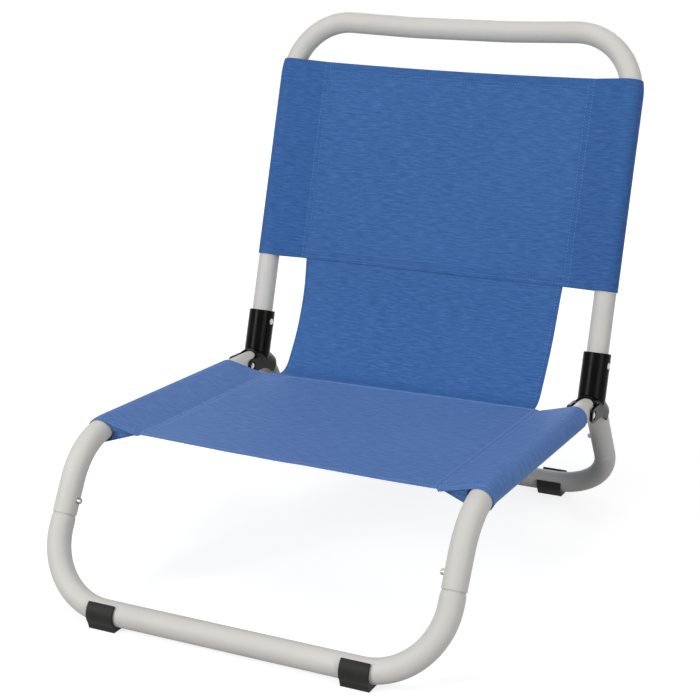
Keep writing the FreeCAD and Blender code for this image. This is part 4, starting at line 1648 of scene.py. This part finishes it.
@dataclass(frozen=True)
class Studio:
    """A white floor under soft, even light.

    Attributes:
        floor_size: Width of the floor.
        floor_colour: Its colour as it lights the chair.
        near_glow: What the camera sees added to it round the chair.
        far_glow: What the camera sees added to it far away.
        glow_reach: The distances at which the near glow ends and the far one starts.
        room_light: Strength of the light from all round.
        lamps: The lamps.
    """

    floor_size: float = 30.0
    floor_colour: Colour = (0.38, 0.38, 0.38)
    near_glow: float = 0.77
    far_glow: float = 0.95
    glow_reach: tuple[float, float] = (0.8, 2.6)
    room_light: float = 0.2
    lamps: tuple[SoftBox, ...] = (
        SoftBox("key_lamp", (-1.5, -2.6, 1.45), (0.0, 0.0, 0.3), 1.15, 66.0),
        SoftBox("top_lamp", (-0.2, -0.3, 3.2), (0.0, 0.0, 0.3), 1.8, 31.0),
        SoftBox("side_lamp", (2.4, -1.2, 1.1), (0.0, 0.0, 0.3), 1.4, 33.0),
        SoftBox("rear_lamp", (-0.4, 3.0, 1.3), (0.0, 0.0, 0.35), 2.0, 30.0),
    )

    def build(self) -> None:
        """Lay the floor and light the room."""
        self.floor()
        self.room()
        for lamp in self.lamps:
            lamp.build()

    def floor(self) -> None:
        """A wide floor that looks white and keeps the chair's shadow."""
        half = self.floor_size / 2
        mesh = bpy.data.meshes.new("studio_floor")
        corners = [(-half, -half, 0), (half, -half, 0), (half, half, 0), (-half, half, 0)]
        mesh.from_pydata(corners, [], [(0, 1, 2, 3)])
        floor = placed("studio_floor", mesh)
        shader = Shader("studio_white")
        shader.set(Base_Color=(*self.floor_colour, 1.0), Emission_Color=(1.0, 1.0, 1.0, 1.0))
        shader.set(Roughness=0.95, Specular_IOR_Level=0.0)
        away = shader.add("ShaderNodeVectorMath", operation="LENGTH")
        shader.link(shader.coordinates((1, 1, 1)), away.inputs[0])
        level = shader.span(away.outputs["Value"], *self.glow_reach, self.near_glow, self.far_glow)
        glow = shader.maths("MULTIPLY", level, shader.seen())
        shader.feed("Emission Strength", glow)
        mesh.materials.append(shader.material)

    def room(self) -> None:
        """A world that lights softly and is seen as white."""
        world = bpy.data.worlds.new("studio_room")
        world.use_nodes = True
        bpy.context.scene.world = world
        nodes = NodeTree(world.node_tree)
        back = world.node_tree.nodes["Background"]
        back.inputs["Color"].default_value = (1.0, 1.0, 1.0, 1.0)
        level = nodes.add("ShaderNodeMapRange")
        level.inputs["To Min"].default_value = self.room_light
        level.inputs["To Max"].default_value = 1.0
        nodes.link(nodes.seen(), level.inputs["Value"])
        nodes.link(level.outputs["Result"], back.inputs["Strength"])


@dataclass(frozen=True)
class ProductCamera:
    """A long-lens camera a little above the seat."""

    place: Place = (0.7046, -1.5136, 0.70279)
    target: Place = (0.14577, -0.325, 0.33572)
    roll: float = math.radians(0.563)
    lens: float = 81.99

    def build(self) -> None:
        """Set up the camera."""
        data = bpy.data.cameras.new("product_camera")
        data.lens = self.lens
        data.sensor_width = 36.0
        camera = placed("product_camera", data)
        heading = (Vector(self.target) - Vector(self.place)).to_track_quat("-Z", "Y")
        turn = heading.to_matrix().to_4x4() @ Matrix.Rotation(self.roll, 4, "Z")
        camera.matrix_world = Matrix.Translation(self.place) @ turn
        bpy.context.scene.camera = camera


# -------------------------------------------------------------------- chair


@dataclass
class BeachChair:
    """The whole chair."""

    layout: ChairLayout
    finishes: Finishes

    def build(self) -> None:
        """Dress the frame and sew the cloth."""
        Stand(self.finishes).dress()
        BackHoop(self.finishes).dress()
        stitching = Stitching()
        made = self.finishes
        for cloth, material, thread in (
            (self.seat(), made.seat_cloth, made.seat_thread),
            (self.back(), made.back_cloth, made.back_thread),
            (LowerPanel(layout=self.layout), made.back_cloth, made.back_thread),
        ):
            cloth.build(material)
            cloth.sew(stitching, thread)

    def seat(self) -> SeatSling:
        """The seat's cloth.

        Returns:
            The seat.
        """
        return SeatSling(
            layout=self.layout,
            name="seat_sling",
            node="seat_fabric",
            body="stand",
            slot="seat_cloth",
            rests_on=("rail_left", "rail_right"),
            start=17 * MM,
            end=314 * MM,
            near=HemLine(-0.9 * MM, -6.3 * MM, 2.2 * MM, mouth=9.5 * MM),
            far=HemLine(-7.5 * MM, 3.5 * MM, mouth=7 * MM, tab=4 * MM, tuck=2 * MM),
            sag=3 * MM,
            lip=1.2 * MM,
            turned=7 * MM,
            seed=2,
        )

    def back(self) -> BackPanel:
        """The back panel's cloth.

        Returns:
            The back panel.
        """
        return BackPanel(
            layout=self.layout,
            name="back_panel",
            node="back_fabric",
            body="back",
            slot="back_cloth",
            rests_on=("back_frame",),
            start=140.4 * MM,
            end=379.4 * MM,
            far=HemLine(0.8 * MM, -1.2 * MM, 1.8 * MM),
            seed=6,
        )


def main() -> None:
    """Build the chair in its studio."""
    logging.basicConfig(level=logging.INFO, format="%(name)s: %(message)s")
    bpy.context.scene.view_settings.view_transform = "Standard"
    BeachChair(ChairLayout.from_frame(), Finishes.build()).build()
    Studio().build()
    ProductCamera().build()
    bpy.context.view_layer.update()


if __name__ == "__main__":
    main()
